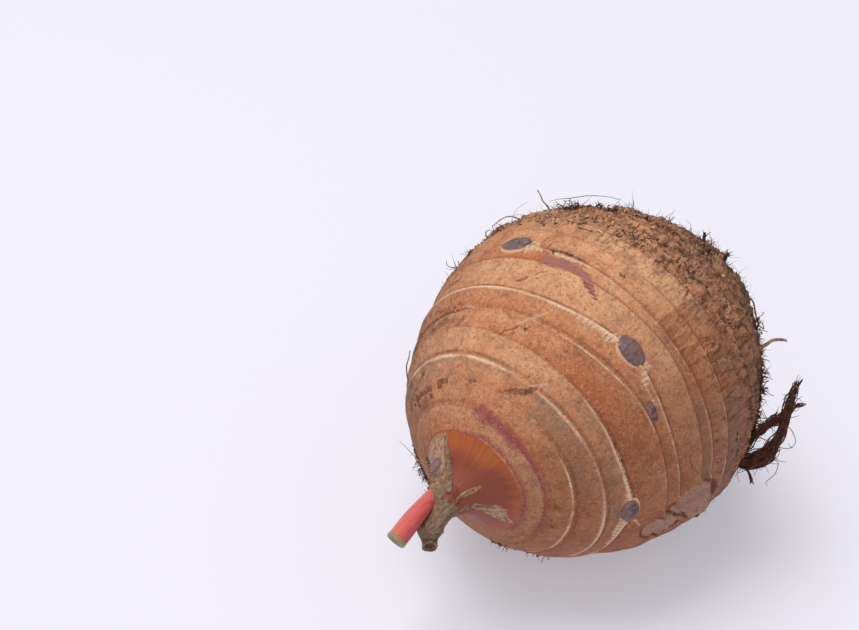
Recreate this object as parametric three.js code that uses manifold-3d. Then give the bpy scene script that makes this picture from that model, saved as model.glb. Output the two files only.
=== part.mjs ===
// A taro corm lying on its side, as lifted from the soil: a fat round body ringed by leaf scars,
// an orange cone at the leaf end, the broken stub of an old leaf sheath, the cut stub of a young
// pink leaf stalk, and a tuft of torn roots near the root end.
//
// Millimetres and degrees, +Z up. A station is a place along the corm's long axis, measured from
// its middle, positive towards the leaf end, which points to -Y. An angle goes round that axis
// from the top of the lying corm, positive towards +X.
import * as THREE from 'three';
import { mergeVertices } from 'three/addons/utils/BufferGeometryUtils.js';
import Module from 'manifold-3d';

const wasm = await Module();
wasm.setup();

// How the corm lies
const axisHeight = 46.4; // above the surface, at station 0
const axisDip = 2.2; // the leaf end lies lower by this angle
const originX = 1.7; // from the corm's axis to the middle of the whole object
const originY = -10.2; // from station 0 to the middle of the whole object

// The corm's outline: station and radius, from the root end to the neck of the cone
const outline = [
  [-56.5, 0],
  [-52, 24.5],
  [-46, 30.8],
  [-36, 38.8],
  [-24, 44.8],
  [-10, 47.9],
  [4, 45.7],
  [18, 40.9],
  [30, 33.9],
  [37, 27.4],
  [41, 21.6],
  [44.2, 15],
  [48, 9.4],
  [52, 6],
  [56, 4.3],
];
const coneFoot = 44.2; // station where the orange cone starts
const neckEnd = 56; // station where the cone ends and the stubs start
const barkFade = { from: 40, to: 46 }; // the lumpy bark gives way to the smooth cone
const poleFade = 12; // below this radius the relief dies out towards the root end's pole
// The root end bulges on one shoulder and is a little flat on either side of it
const shoulder = { lift: 1.5, station: -34, length: 17, angle: 38, waves: 3, spread: 90 };

// Leaf scars, from the cone to the root end. Each ring runs round the corm at its station, leans
// towards one side, and stands up as a low ridge. A ring stays back from the leaf end where a
// bud sits on it.
const leafScars = [
  { name: 'cone foot', at: coneFoot, lean: 0.2, to: 0, ridge: 0.3 },
  { name: 'purple', at: 41.6, lean: 0.1, to: 0, ridge: 0.45, pull: { by: 0.3, at: 4, over: 10 } },
  { name: 'third', at: 37.5, lean: 0.2, to: 0, ridge: 0.45 },
  { name: 'fourth', at: 32.2, lean: 1.7, to: -20, ridge: 0.6 },
  { name: 'fifth', at: 27.4, lean: 0.3, to: 0, ridge: 0.6, pull: { by: 1.6, at: 95, over: 15 } },
  { name: 'sixth', at: 18.9, lean: 3.6, to: -40, ridge: 0.6, pull: { by: 1.3, at: 58, over: 20 } },
  { name: 'pale', at: 14.3, lean: 2.2, to: -40, ridge: 0.8, pull: { by: 2.4, at: 38, over: 22 } },
  { name: 'eighth', at: 5.6, lean: 0.6, to: -40, ridge: 0.4, pull: { by: 1.8, at: 42, over: 24 } },
  { name: 'ninth', at: 1.4, lean: 0.4, to: 20, ridge: 0.5 },
  { name: 'tenth', at: -4.5, lean: 0.5, to: 160, ridge: 0.45 },
  { name: 'eleventh', at: -12.7, lean: 0.6, to: 20, ridge: 0.55 },
  { name: 'twelfth', at: -18.5, lean: 1.6, to: 110, ridge: 0.6 },
];
const oldScars = { first: -24.5, spacing: 4.6, closing: 0.2, count: 7, lean: 1, ridge: 0.65 };
const ridgeFoot = 1.5; // how far a ridge reaches along the corm on either side of its crest
const grooveShare = 0.35; // depth of the groove on the leaf side, as a share of the ridge

// Buds in the leaf scars: the scar each sits on, its angle, its size round and along the corm,
// and how far it stands proud. Each is a lump sunk in the skin.
const lumpHeight = 2.2; // half height of a lump, as a share of how far it stands proud
const lumpSunk = 1.2; // depth of its middle under the skin, as the same share
const buds = [
  { scar: 'pale', angle: 38, round: 9.8, along: 7, proud: 0.9 },
  { scar: 'fifth', angle: 96, round: 7, along: 4.6, proud: 0.8 },
  { scar: 'ninth', angle: -23, round: 8, along: 5.4, proud: 0.8 },
  { scar: 'sixth', angle: 58, round: 6.4, along: 2.6, proud: 0.4 },
  { scar: 'purple', angle: 4, round: 3.8, along: 3, proud: 0.7 },
  { scar: 'fourth', angle: 205, round: 5.5, along: 4.2, proud: 0.8 },
  { scar: 'pale', angle: 262, round: 7.5, along: 5.6, proud: 0.8 },
  { scar: 'tenth', angle: 148, round: 7.5, along: 5.4, proud: 0.8 },
  { scar: 'eleventh', angle: 284, round: 8, along: 5.6, proud: 0.8 },
  { scar: 'third', angle: -140, round: 4.5, along: 3.4, proud: 0.7 },
];
const coneBud = { station: 50.2, angle: -60, round: 2.8, along: 6, proud: 0.6 };

// The scar where a side corm was broken off: two low rounded lobes
const sideScar = [
  { station: 3, angle: 110, round: 16, along: 15, proud: 2.4 },
  { station: 11.5, angle: 110, round: 9.5, along: 7.5, proud: 1.4 },
];

// The old sheath still wraps one side of the cone, and its ribs run down on to it
const sheathWrap = { thick: 1.3, from: -150, to: -32, edge: 8, start: 44.5 };
const coneRibs = [
  { fromStation: 55, fromAngle: 60, toStation: 49, toAngle: 66, radius: 0.9 },
  { fromStation: 55, fromAngle: 92, toStation: 47, toAngle: 102, radius: 1.1 },
  { fromStation: 55, fromAngle: 130, toStation: 46.5, toAngle: 122, radius: 1.5 },
];

// Stubs at the neck: points as [x from the axis, station, height from the axis, radius]
const joinGap = 0.3;
const sheathStub = [
  [0.6, neckEnd + joinGap, -0.9, 3.2],
  [0.6, 59, -1.4, 3],
  [0.6, 62, -2.7, 3.5],
  [0.9, 64, -4.2, 3.2],
  [1.9, 65.2, -5.6, 2],
  [2.4, 65.9, -7.6, 1.9],
];
const stalkStub = [
  [-2.6, neckEnd + joinGap, 1.8, 2],
  [-2.1, 61, 2.1, 2.3],
  [-1.2, 68, 2.1, 2.6],
  [0, 76.4, 2, 2.7],
];
const stubSides = 14;

// Broken root bases over the root end, thinning out towards the belly
const rootBases = { count: 46, from: -14, to: -53, radius: 0.8, length: 2, sunk: 1.8, seed: 11 };
const turnShare = 0.618; // of a full turn between one root base and the next
const lowestRoot = 9; // height under which roots are pressed off
const tuftRoom = 12; // bare skin round the tuft's root
const bareSide = { from: -70, to: 112, until: -45 }; // roots are rubbed off here
const sideRoot = { station: -37.5, angle: 76, reach: 7, rise: 1, radius: 0.6 };

// The torn root tuft. It leaves the corm at one spot and sweeps out, back and up.
const tuft = {
  station: -20,
  angle: 104,
  out: new THREE.Vector3(0.78, 0.62, 0),
  up: new THREE.Vector3(-0.37, 0.46, 0.81),
  sunk: 1.5,
  spread: 1.4, // how far apart the strands lie, front to back
  seed: 5,
};
// Strands as [out, up] points from the tuft's root, in millimetres, and their radius
const tuftStrands = [
  { radius: 1.5, points: [[-2, 0.5], [2, 0.2], [7, 2.6], [10.6, 8], [13.2, 14], [16.6, 20.6]] },
  { radius: 1.3, points: [[-2, -0.8], [3.4, -1.4], [8.4, 1], [11.8, 7.4], [13.6, 14], [15.8, 19]] },
  { radius: 1.2, points: [[-2, 3], [1.2, 5.2], [5.4, 8.2], [9.6, 10.2], [13.2, 14.6], [16.4, 18.4]] },
  { radius: 1, points: [[-2, 4.6], [0.8, 6.8], [4.8, 9.4], [9.2, 11.4], [12, 16]] },
  { radius: 1, points: [[-2, -1.6], [1.6, -2.6], [5.5, -2], [9.2, 1], [11.2, 6]] },
  { radius: 0.7, points: [[11, 9.6], [13.6, 12.8], [15.8, 14.6], [18, 15]] },
  { radius: 0.7, points: [[-1, -0.6], [0.6, -3.4], [2.2, -5]] },
];

// Numbers between 0 and 1 that repeat for a seed
function randomFrom(seed) {
  let state = seed;
  return () => {
    state = (state * 16807) % 2147483647;
    return state / 2147483647;
  };
}

const radians = THREE.MathUtils.degToRad;
const apart = (a, b) => ((((a - b) % 360) + 540) % 360) - 180;
const bell = (distance, width) => Math.exp(-((distance / width) ** 2));

// The rings near the root end follow a rule: ever closer, each leaning its own way
function allScars() {
  const random = randomFrom(7);
  const scars = [...leafScars];
  let station = oldScars.first;
  for (let index = 0; index < oldScars.count; index += 1) {
    const lean = oldScars.lean * random();
    const to = 360 * random();
    scars.push({ name: `old ${index}`, at: station, lean, to, ridge: oldScars.ridge });
    station -= oldScars.spacing - oldScars.closing * index;
  }
  return scars;
}

const scars = allScars();

// The squared radius is a smooth curve through the outline's points, so both ends round off
function plainRadius(station) {
  const last = outline.length - 1;
  const clamped = THREE.MathUtils.clamp(station, outline[0][0], outline[last][0]);
  let index = 0;
  while (index < last - 1 && outline[index + 1][0] < clamped) index += 1;
  const square = (i) => outline[i][1] ** 2;
  const slope = (i) => {
    const before = Math.max(i - 1, 0);
    const after = Math.min(i + 1, last);
    return (square(after) - square(before)) / (outline[after][0] - outline[before][0]);
  };
  const length = outline[index + 1][0] - outline[index][0];
  const t = (clamped - outline[index][0]) / length;
  const h00 = 2 * t ** 3 - 3 * t ** 2 + 1;
  const h10 = t ** 3 - 2 * t ** 2 + t;
  const h01 = 3 * t ** 2 - 2 * t ** 3;
  const h11 = t ** 3 - t ** 2;
  const start = h00 * square(index) + h10 * length * slope(index);
  const end = h01 * square(index + 1) + h11 * length * slope(index + 1);
  return Math.sqrt(Math.max(start + end, 0));
}

// How far a ring lies from its mean station at an angle
function scarOffset(scar, angle) {
  const lean = scar.lean * Math.cos(radians(angle - scar.to));
  const pull = scar.pull ? scar.pull.by * bell(apart(angle, scar.pull.at), scar.pull.over) : 0;
  return lean - pull;
}

// Between two rings the surface follows both, by its distance from each
function bend(station, angle) {
  if (station > scars[0].at) {
    const fade = Math.max(1 - (station - scars[0].at) / 4, 0);
    return fade * scarOffset(scars[0], angle);
  }
  for (let index = 1; index < scars.length; index += 1) {
    if (station >= scars[index].at) {
      const share = (station - scars[index].at) / (scars[index - 1].at - scars[index].at);
      const upper = scarOffset(scars[index - 1], angle);
      return share * upper + (1 - share) * scarOffset(scars[index], angle);
    }
  }
  const last = scars[scars.length - 1];
  const fade = Math.max(1 - (last.at - station) / 3, 0);
  return fade * scarOffset(last, angle);
}

// Height of the ridges and of the grooves beside them
function scarRelief(station) {
  let lift = 0;
  for (const scar of scars) {
    const distance = station - scar.at;
    lift += scar.ridge * bell(distance, 0.55 * ridgeFoot);
    lift -= scar.ridge * grooveShare * bell(distance - ridgeFoot, 0.6 * ridgeFoot);
  }
  return lift;
}

// The bark is lumpy, more so towards the root end
function barkRelief(station, angle) {
  const a = radians(angle);
  const coarse = Math.sin(3 * a + 0.11 * station) + Math.sin(5 * a - 0.17 * station + 2);
  const fine = Math.sin(13 * a + 0.6 * station) * Math.sin(9 * a - 0.8 * station + 1);
  const rootShare = THREE.MathUtils.smoothstep(-station, 12, 42);
  return 0.18 * coarse * (1 + rootShare) + 0.45 * fine * rootShare;
}

function wrapRelief(station, angle) {
  const inside = apart(angle, (sheathWrap.from + sheathWrap.to) / 2);
  const half = (sheathWrap.to - sheathWrap.from) / 2;
  const round = 1 - THREE.MathUtils.smoothstep(Math.abs(inside), half, half + sheathWrap.edge);
  const along = THREE.MathUtils.smoothstep(station, sheathWrap.start, sheathWrap.start + 2);
  return sheathWrap.thick * round * along;
}

// A point in the frame of the lying corm
function place(station, angle, radius) {
  const dip = radians(axisDip);
  const side = radius * Math.sin(radians(angle));
  const above = radius * Math.cos(radians(angle));
  return new THREE.Vector3(
    side,
    -station * Math.cos(dip) - above * Math.sin(dip),
    axisHeight - station * Math.sin(dip) + above * Math.cos(dip)
  );
}

// A point on the corm's skin, or above it
function skin(station, angle, lift = 0) {
  const along = station + bend(station, angle);
  const cone = THREE.MathUtils.smoothstep(station, barkFade.from, barkFade.to);
  const aside = apart(angle, shoulder.angle);
  const full =
    shoulder.lift *
    bell(along - shoulder.station, shoulder.length) *
    bell(aside, shoulder.spread) *
    Math.cos(radians(shoulder.waves * aside));
  const base = plainRadius(along);
  const relief =
    scarRelief(station) + (1 - cone) * barkRelief(along, angle) + wrapRelief(along, angle) + full;
  const taper = station > barkFade.from ? 1 : Math.min(base / poleFade, 1);
  return place(along, angle, base + relief * taper + lift);
}

// Outward direction of the skin
function skinNormal(station, angle) {
  const here = skin(station, angle);
  const along = skin(station + 1.5, angle).sub(here);
  const round = skin(station, angle + 3).sub(here);
  return along.cross(round).normalize();
}

function solidOf(geometry) {
  const bare = geometry.clone();
  bare.deleteAttribute('normal');
  bare.deleteAttribute('uv');
  const merged = mergeVertices(bare, 1e-4);
  const corners = merged.index.array;
  const kept = [];
  for (let i = 0; i < corners.length; i += 3) {
    const [a, b, c] = [corners[i], corners[i + 1], corners[i + 2]];
    if (a !== b && b !== c && a !== c) kept.push(a, b, c);
  }
  return new wasm.Manifold(
    new wasm.Mesh({
      numProp: 3,
      vertProperties: Float32Array.from(merged.attributes.position.array),
      triVerts: Uint32Array.from(kept),
    })
  );
}

function geometryOf(solid) {
  const mesh = solid.getMesh();
  const geometry = new THREE.BufferGeometry();
  geometry.setAttribute('position', new THREE.BufferAttribute(mesh.vertProperties, 3));
  geometry.setIndex(new THREE.BufferAttribute(mesh.triVerts, 1));
  geometry.computeVertexNormals();
  return geometry;
}

// Move every vertex of a geometry to where a rule puts it
function reshape(geometry, rule) {
  const position = geometry.attributes.position;
  const point = new THREE.Vector3();
  for (let i = 0; i < position.count; i += 1) {
    point.fromBufferAttribute(position, i);
    const moved = rule(point);
    position.setXYZ(i, moved.x, moved.y, moved.z);
  }
  return geometry;
}

// A round limb along points that each carry a radius
function limb(points, radii, sides, steps) {
  const curve = new THREE.CatmullRomCurve3(points, false, 'centripetal');
  const frames = curve.computeFrenetFrames(steps, false);
  const rod = new THREE.CylinderGeometry(1, 1, 1, sides, steps);
  return reshape(rod, (point) => {
    const t = point.y + 0.5;
    const step = Math.round(t * steps);
    const spot = t * (radii.length - 1);
    const lower = Math.min(Math.floor(spot), radii.length - 2);
    const radius = THREE.MathUtils.lerp(radii[lower], radii[lower + 1], spot - lower);
    return curve
      .getPoint(t)
      .addScaledVector(frames.normals[step], -point.x * radius)
      .addScaledVector(frames.binormals[step], point.z * radius);
  });
}

// A rounded lump on the skin, longer one way than the other
function lump({ station, angle, round, along, proud }, sides = 12, rows = 6) {
  const centre = skin(station, angle);
  const out = skinNormal(station, angle);
  const across = skin(station, angle + 4).sub(centre).normalize();
  const lengthwise = new THREE.Vector3().crossVectors(across, out);
  const ball = new THREE.SphereGeometry(1, sides, rows);
  return reshape(ball, (point) =>
    centre
      .clone()
      .addScaledVector(across, (point.x * round) / 2)
      .addScaledVector(lengthwise, (point.z * along) / 2)
      .addScaledVector(out, (point.y * lumpHeight - lumpSunk) * proud)
  );
}

// Stations of the mesh rows: close at every ridge, wider between them
function skinRows() {
  const widest = 5;
  const nearest = 1;
  const rows = [neckEnd, 54, 52, 50, 48, 46.2];
  const add = (station) => {
    if (rows[rows.length - 1] - station > nearest) rows.push(station);
  };
  scars.forEach((scar, index) => {
    add(scar.at + ridgeFoot);
    if (rows[rows.length - 1] - scar.at <= nearest) rows.pop();
    add(scar.at);
    const next = scars[index + 1];
    if (!next) return;
    const foot = scar.at - ridgeFoot;
    const gap = foot - next.at - ridgeFoot;
    if (gap > nearest) add(foot);
    const between = Math.round(gap / widest);
    for (let i = 1; i <= between; i += 1) add(foot - (gap * i) / (between + 1));
  });
  for (const station of [-53.2, -55, -56.1]) add(station);
  rows.push(outline[0][0]);
  return rows;
}

function cormSkin(grow = 0) {
  const columns = 48;
  const rows = skinRows();
  const profile = [new THREE.Vector2(0, neckEnd)];
  for (const station of rows) {
    profile.push(new THREE.Vector2(station === outline[0][0] ? 0 : 1, station));
  }
  const turned = new THREE.LatheGeometry(profile, columns);
  return reshape(turned, (point) => {
    const angle = THREE.MathUtils.radToDeg(Math.atan2(point.x, point.z));
    if (Math.hypot(point.x, point.z) < 1e-6) return place(point.y, 0, 0);
    return skin(point.y, angle, grow);
  });
}

function budPlace(bud) {
  const scar = scars.find((one) => one.name === bud.scar);
  return { ...bud, station: scar.at - 0.2 * bud.along };
}

function rib({ fromStation, fromAngle, toStation, toAngle, radius }) {
  const points = [0, 0.33, 0.67, 1].map((t) => {
    const station = THREE.MathUtils.lerp(fromStation, toStation, t);
    const angle = THREE.MathUtils.lerp(fromAngle, toAngle, t);
    return skin(station, angle, -0.35 * radius);
  });
  return limb(points, [radius, radius, 0.8 * radius, 0.4 * radius], 8, 6);
}

function rootBaseSolids() {
  const random = randomFrom(rootBases.seed);
  const tuftRoot = skin(tuft.station, tuft.angle);
  const pegs = [];
  for (let i = 0; i < rootBases.count; i += 1) {
    const spread = Math.sqrt(random());
    const station = THREE.MathUtils.lerp(rootBases.from, rootBases.to, spread);
    const angle = 360 * ((i * turnShare) % 1) + 20 * random();
    const foot = skin(station, angle);
    const middle = (bareSide.from + bareSide.to) / 2;
    const bare = Math.abs(apart(angle, middle)) < bareSide.to - middle && station > bareSide.until;
    if (bare || foot.z < lowestRoot || foot.distanceTo(tuftRoot) < tuftRoom) continue;
    const out = skinNormal(station, angle);
    out.add(new THREE.Vector3(random() - 0.5, 0.6 * random(), random() - 0.5)).normalize();
    const length = rootBases.length * (0.5 + random());
    const radius = rootBases.radius * (0.7 + 0.6 * random());
    const points = [-rootBases.sunk, 0.3 * length, length].map((reach) =>
      foot.clone().addScaledVector(out, reach)
    );
    pegs.push(limb(points, [1.3 * radius, radius, 0.6 * radius], 5, 1));
  }
  return pegs;
}

function sideRootSolid() {
  const foot = skin(sideRoot.station, sideRoot.angle);
  const rise = [-0.4, 0.1, 0.9, 1].map((share) => share * sideRoot.rise);
  const points = [-0.35, 0.25, 0.7, 1].map((share, index) =>
    foot
      .clone()
      .addScaledVector(tuft.out, share * sideRoot.reach)
      .addScaledVector(tuft.up, rise[index])
  );
  return limb(points, [1.3, 1, 0.9, 1].map((share) => share * sideRoot.radius), 6, 5);
}

function cormSolid() {
  let corm = solidOf(cormSkin());
  const lumps = [...buds.map(budPlace), coneBud].map((bud) => lump(bud));
  const lobes = sideScar.map((lobe) => lump(lobe, 14, 8));
  for (const extra of [...lumps, ...lobes, ...coneRibs.map(rib), sideRootSolid(), ...rootBaseSolids()]) {
    corm = corm.add(solidOf(extra));
  }
  const ground = new THREE.BoxGeometry(200, 200, 40);
  ground.translate(0, 0, -20);
  for (const room of [ground, stub(sheathStub, joinGap), stub(stalkStub, joinGap)]) {
    corm = corm.subtract(solidOf(room));
  }
  return corm;
}

// A stub through its rows of numbers, or the room that it needs when it is grown
function stub(rows, grow = 0) {
  const points = rows.map(([x, station, above], index) => {
    const start = index === 0 ? station - grow : station;
    return place(start, 0, above).setX(x);
  });
  return limb(points, rows.map((row) => row[3] + grow), stubSides, 12);
}

function sheathStubSolid() {
  return solidOf(stub(sheathStub));
}

// The young stalk stands close behind the old sheath, which presses a hollow into it
function stalkStubSolid() {
  return solidOf(stub(stalkStub)).subtract(solidOf(stub(sheathStub, joinGap)));
}

function tuftSolid() {
  const random = randomFrom(tuft.seed);
  const root = skin(tuft.station, tuft.angle);
  const away = skinNormal(tuft.station, tuft.angle);
  const deep = new THREE.Vector3().crossVectors(tuft.out, tuft.up);
  let bundle = null;
  for (const strand of tuftStrands) {
    const points = strand.points.map(([out, up]) =>
      root
        .clone()
        .addScaledVector(away, -tuft.sunk)
        .addScaledVector(tuft.out, out)
        .addScaledVector(tuft.up, up)
        .addScaledVector(deep, tuft.spread * (random() - 0.5))
    );
    const radii = points.map((_, i) => strand.radius * (1 - (0.5 * i) / points.length));
    const solid = solidOf(limb(points, radii, 6, 2 * points.length));
    bundle = bundle ? bundle.add(solid) : solid;
  }
  return bundle.subtract(solidOf(cormSkin(joinGap)));
}

function piece(name, solid, colour, roughness) {
  const material = new THREE.MeshStandardMaterial({ color: colour, roughness, metalness: 0 });
  const mesh = new THREE.Mesh(geometryOf(solid), material);
  mesh.name = name;
  return mesh;
}

const taro = new THREE.Group();
const corm = cormSolid();
taro.add(piece('corm', corm, 0xb9794a, 0.85));
taro.add(piece('sheath_stub', sheathStubSolid(), 0x9a8460, 0.9));
taro.add(piece('stalk_stub', stalkStubSolid(), 0xd8645f, 0.45));
taro.add(piece('root_tuft', tuftSolid(), 0x4a2a22, 0.9));
taro.position.set(-originX, -originY, 0);
const part = new THREE.Group();
part.add(taro);
part.updateMatrixWorld(true);

export default part;
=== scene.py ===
"""A taro corm lying on its side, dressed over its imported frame.

The frame gives the body, the two stubs and the root tuft. Here they get their skin: fine leaf
scars, torn bark, buds, dry sheath, a pink stalk, fibres, hairs and soil. Lengths in the code
are millimetres, and every mesh is written in metres.
"""
import math

import bpy
import numpy as np
from bpy.props import FloatProperty, FloatVectorProperty, IntProperty, PointerProperty
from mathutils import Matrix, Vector


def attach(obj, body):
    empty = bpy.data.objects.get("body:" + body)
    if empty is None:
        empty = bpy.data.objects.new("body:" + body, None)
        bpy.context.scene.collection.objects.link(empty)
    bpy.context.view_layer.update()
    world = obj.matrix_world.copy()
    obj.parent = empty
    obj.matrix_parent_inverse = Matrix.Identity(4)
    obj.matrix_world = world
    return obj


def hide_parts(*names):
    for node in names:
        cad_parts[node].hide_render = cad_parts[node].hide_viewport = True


bl_info = {
    "name": "Taro corm", "version": (1, 0, 0), "blender": (4, 5, 0),
    "location": "View3D > Sidebar > Taro",
    "description": "Dresses a taro corm with skin, buds, stubs, roots, fibres and soil",
    "category": "Object",
}

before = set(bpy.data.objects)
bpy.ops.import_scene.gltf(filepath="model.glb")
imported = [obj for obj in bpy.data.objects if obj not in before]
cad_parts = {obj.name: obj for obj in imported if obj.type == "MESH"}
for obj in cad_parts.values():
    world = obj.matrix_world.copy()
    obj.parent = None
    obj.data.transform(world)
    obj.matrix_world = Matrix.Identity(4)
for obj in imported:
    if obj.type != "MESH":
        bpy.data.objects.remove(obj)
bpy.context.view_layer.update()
MM = 0.001

# The lying corm, as in the frame's source. A station runs along its axis towards the leaf end,
# and an angle goes round from the top towards +X, in degrees.
AXIS_HEIGHT = 46.4
AXIS_DIP = math.radians(2.2)
ORIGIN = (1.7, -10.2)
OUTLINE = np.array([
    (-56.5, 0), (-52, 24.5), (-46, 30.8), (-36, 38.8), (-24, 44.8), (-10, 47.9), (4, 45.7), (18, 40.9),
    (30, 33.9), (37, 27.4), (41, 21.6), (44.2, 15), (48, 9.4), (52, 6), (56, 4.3),
])
NECK_END = 56
SHOULDER = {"lift": 1.5, "station": -34, "length": 17, "angle": 38, "waves": 3, "spread": 90}
RIDGE_FOOT = 1.5
GROOVE_SHARE = 0.35
COLUMNS = 416
ROW_STEP = 0.8

# Leaf scars from the cone to the root end: name, station, lean, the side it leans to, ridge
# height, and the pull of a bud as (by, at, over)
LEAF_SCARS = [
    ("foot", 44.2, 0.2, 0, 0.3, None), ("purple", 41.6, 0.1, 0, 0.45, (0.3, 4, 10)),
    ("third", 37.5, 0.2, 0, 0.45, None), ("fourth", 32.2, 1.7, -20, 0.6, None),
    ("fifth", 27.4, 0.3, 0, 0.6, (1.6, 95, 15)), ("sixth", 18.9, 3.6, -40, 0.6, (1.3, 58, 20)),
    ("pale", 14.3, 2.2, -40, 0.8, (2.4, 38, 22)), ("eighth", 5.6, 0.6, -40, 0.4, (1.8, 42, 24)),
    ("ninth", 1.4, 0.4, 20, 0.5, None), ("tenth", -4.5, 0.5, 160, 0.45, None),
    ("eleventh", -12.7, 0.6, 20, 0.55, None), ("twelfth", -18.5, 1.6, 110, 0.6, None),
]
OLD_SCARS = {"first": -24.5, "spacing": 4.6, "closing": 0.2, "count": 7, "lean": 1, "ridge": 0.65}

# Buds: station, angle, size round and along the corm, how far each stands proud, how grey it is
BUDS = [
    (13.2, 37.2, 9.8, 6.4, 1, 0.7), (27.4, 96.5, 8.2, 4.8, 0.9, 0.6), (-0.1, -23.5, 10.2, 7.2, 0.9, 1),
    (16.4, 59, 6.6, 2.8, 0.5, 0.3), (31.4, 205, 5.5, 4.2, 0.8, 0.5), (12.8, 262, 7.5, 5.6, 0.8, 0.8),
    (-5.5, 148, 7.5, 5.4, 0.8, 0.5), (-13.8, 284, 8, 5.6, 0.8, 0.9), (36.8, -140, 4.5, 3.4, 0.7, 0.3),
    (50.4, -55, 3.6, 6.2, 1.6, 0.7),
]

# Where a side corm was broken off: station, angle, size round and along, height
WOUND = [(3, 110, 16, 15, 2.4), (11.6, 108, 13, 11, 1.4)]

# The bare faces on that swelling: station, angle, size round and along, and the tears between them
WOUND_FACES = [(6.2, 106, 17, 18), (13.2, 113, 13, 13)]
WOUND_SPLITS = [[(18, 103, 0.5), (13.5, 106, 0.9), (10, 109.5, 1), (6.5, 113.5, 0.6), (3, 118, 0.4)]]

# The angles at which the tables below give their values
BAND_ANGLES = (-60, -20, 20, 50, 90)
# Each scar's pale line: half width, then its strength at those angles
SCAR_LINES = {
    "foot": (0.2, (0, 0, 0, 0, 0)), "purple": (0.22, (0.5, 0.6, 0.1, 0.2, 0.3)),
    "third": (0.24, (0.1, 0, 0.2, 0.7, 1)), "fourth": (0.4, (0.9, 1, 0.7, 0.75, 0.85)),
    "fifth": (0.3, (0.3, 0.35, 0.4, 0.8, 1)), "sixth": (0.25, (0.1, 0.15, 0.85, 0.75, 0.6)),
    "pale": (0.34, (0.8, 1, 1, 0.8, 0.6)), "eighth": (0.25, (0.7, 0.6, 0.5, 0.5, 0.4)),
    "ninth": (0.25, (0.7, 0.7, 0.6, 0.6, 0.7)), "tenth": (0.22, (0.2, 0.3, 0.25, 0.6, 0.8)),
    "eleventh": (0.24, (0.6, 0.8, 0.9, 0.8, 0.5)),
}
OLD_LINE = (0.26, (0.6, 0.7, 0.9, 0.8, 0.5))

# Each band between two scars at those angles: 0 orange to 1 pale tan, then how grey-brown it is
BANDS = [
    ((0.35, 0.4, 0.6, 0.65, 0.6), (0.3, 0.1, 0.1, 0.1, 0.1)),
    ((0.3, 0.3, 0.3, 0.15, 0.25), (0.5, 0.2, 0.15, 0.15, 0.1)),
    ((0.6, 0.5, 0.35, 0.2, 0.15), (0.7, 0.4, 0.3, 0.6, 0.2)),
    ((0.65, 0.7, 0.6, 0.45, 0.4), (0.4, 0.15, 0.15, 0.35, 0.4)),
    ((0.3, 0.5, 0.1, -0.1, 0.15), (0.45, 0.1, 0, 0, 0.15)),
    ((0.3, 0.2, 0.4, 0.3, 0.2), (0.1, 0, 0, 0, 0.35)),
    ((0.35, 0.9, 0.95, 0.6, 0.2), (0.1, 0, 0, 0, 0.25)),
    ((0.2, 0.15, 0.65, 0.2, 0.35), (0.2, 0.1, 0.05, 0.5, 0.65)),
    ((0.4, 0.5, 0.6, 0, 0.55), (0.2, 0.1, 0.05, 0.2, 0.35)),
    ((0.4, 0.65, 1.05, 0.1, 0.1), (0.6, 0.3, 0.1, 0.4, 0.8)),
    ((0.4, 0.5, 0.6, 0.15, 0.35), (0.5, 0.45, 0.3, 0.4, 0.55)),
    ((0.4, 0.45, 0.5, 0.4, 0.3), (0.5, 0.5, 0.45, 0.4, 0.6)),
]
# Where the pale skin ends in a ragged seam, beyond which the bark is darker
SEAM = {"angle": 35.5, "wander": 1.6, "from": 2.2, "to": -18.5}

# Marks on the skin, each a path of (station, angle, half width)
PINK_TAIL = [(4.1, -6, 1.9), (4, 0, 2), (4, 8, 1.6), (6.2, 12, 0.9), (8.3, 17, 0.4)]
BAND_TAILS = [
    [(14.5, 8, 0.2), (14.5, 20, 0.5), (14.6, 28, 1), (13.8, 32, 1.4)],
    [(12.2, 44.2, 0.9), (14.4, 46, 0.9), (15.3, 50, 0.45), (15.2, 57, 0.2)],
    [(26.8, 66, 0.25), (27, 78, 0.5), (27.3, 88, 0.9), (27.8, 91, 0.8)],
    [(28, 102, 1), (28, 108, 0.6), (27.8, 120, 0.25)],
    [(25.4, 103, 0.6), (24.2, 106, 0.45), (23.1, 109.5, 0.3)],
    [(1.8, -17.5, 0.9), (0.6, -15.4, 1.8), (1.8, -11.5, 0.5)],
    [(1.7, -7, 0.25), (1.8, 0, 0.35), (1.3, 8, 0.25)],
]
PALE_CREASES = [
    [(21.4, -1.4, 0.3), (19, 2, 0.5), (17, 4.6, 0.6), (15.4, 7, 0.3)],
    [(36.4, 10.4, 0.3), (33, 18.6, 0.5), (29.8, 25, 0.6)], [(37.4, 11, 0.4), (37, 13.6, 0.5)],
    [(37.4, 31.4, 0.35), (37, 34.2, 0.4)], [(19.2, -29, 0.6), (19.4, -23, 0.5)],
    [(-20, 42.6, 0.35), (-23.6, 44, 0.4), (-23.8, 48.4, 0.4), (-20.4, 49.4, 0.35)],
    [(-18.6, 37, 0.4), (-22.5, 39.4, 0.4)], [(-18.5, 31, 0.35), (-22.4, 30, 0.4)],
    [(-4, 53, 0.3), (-11, 53.4, 0.4)], [(-4.6, 57, 0.3), (-11, 58.6, 0.4)],
    [(2, 46, 0.3), (-3.6, 47.6, 0.4)], [(-14, 48, 0.3), (-17.6, 50, 0.4)],
]
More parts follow.
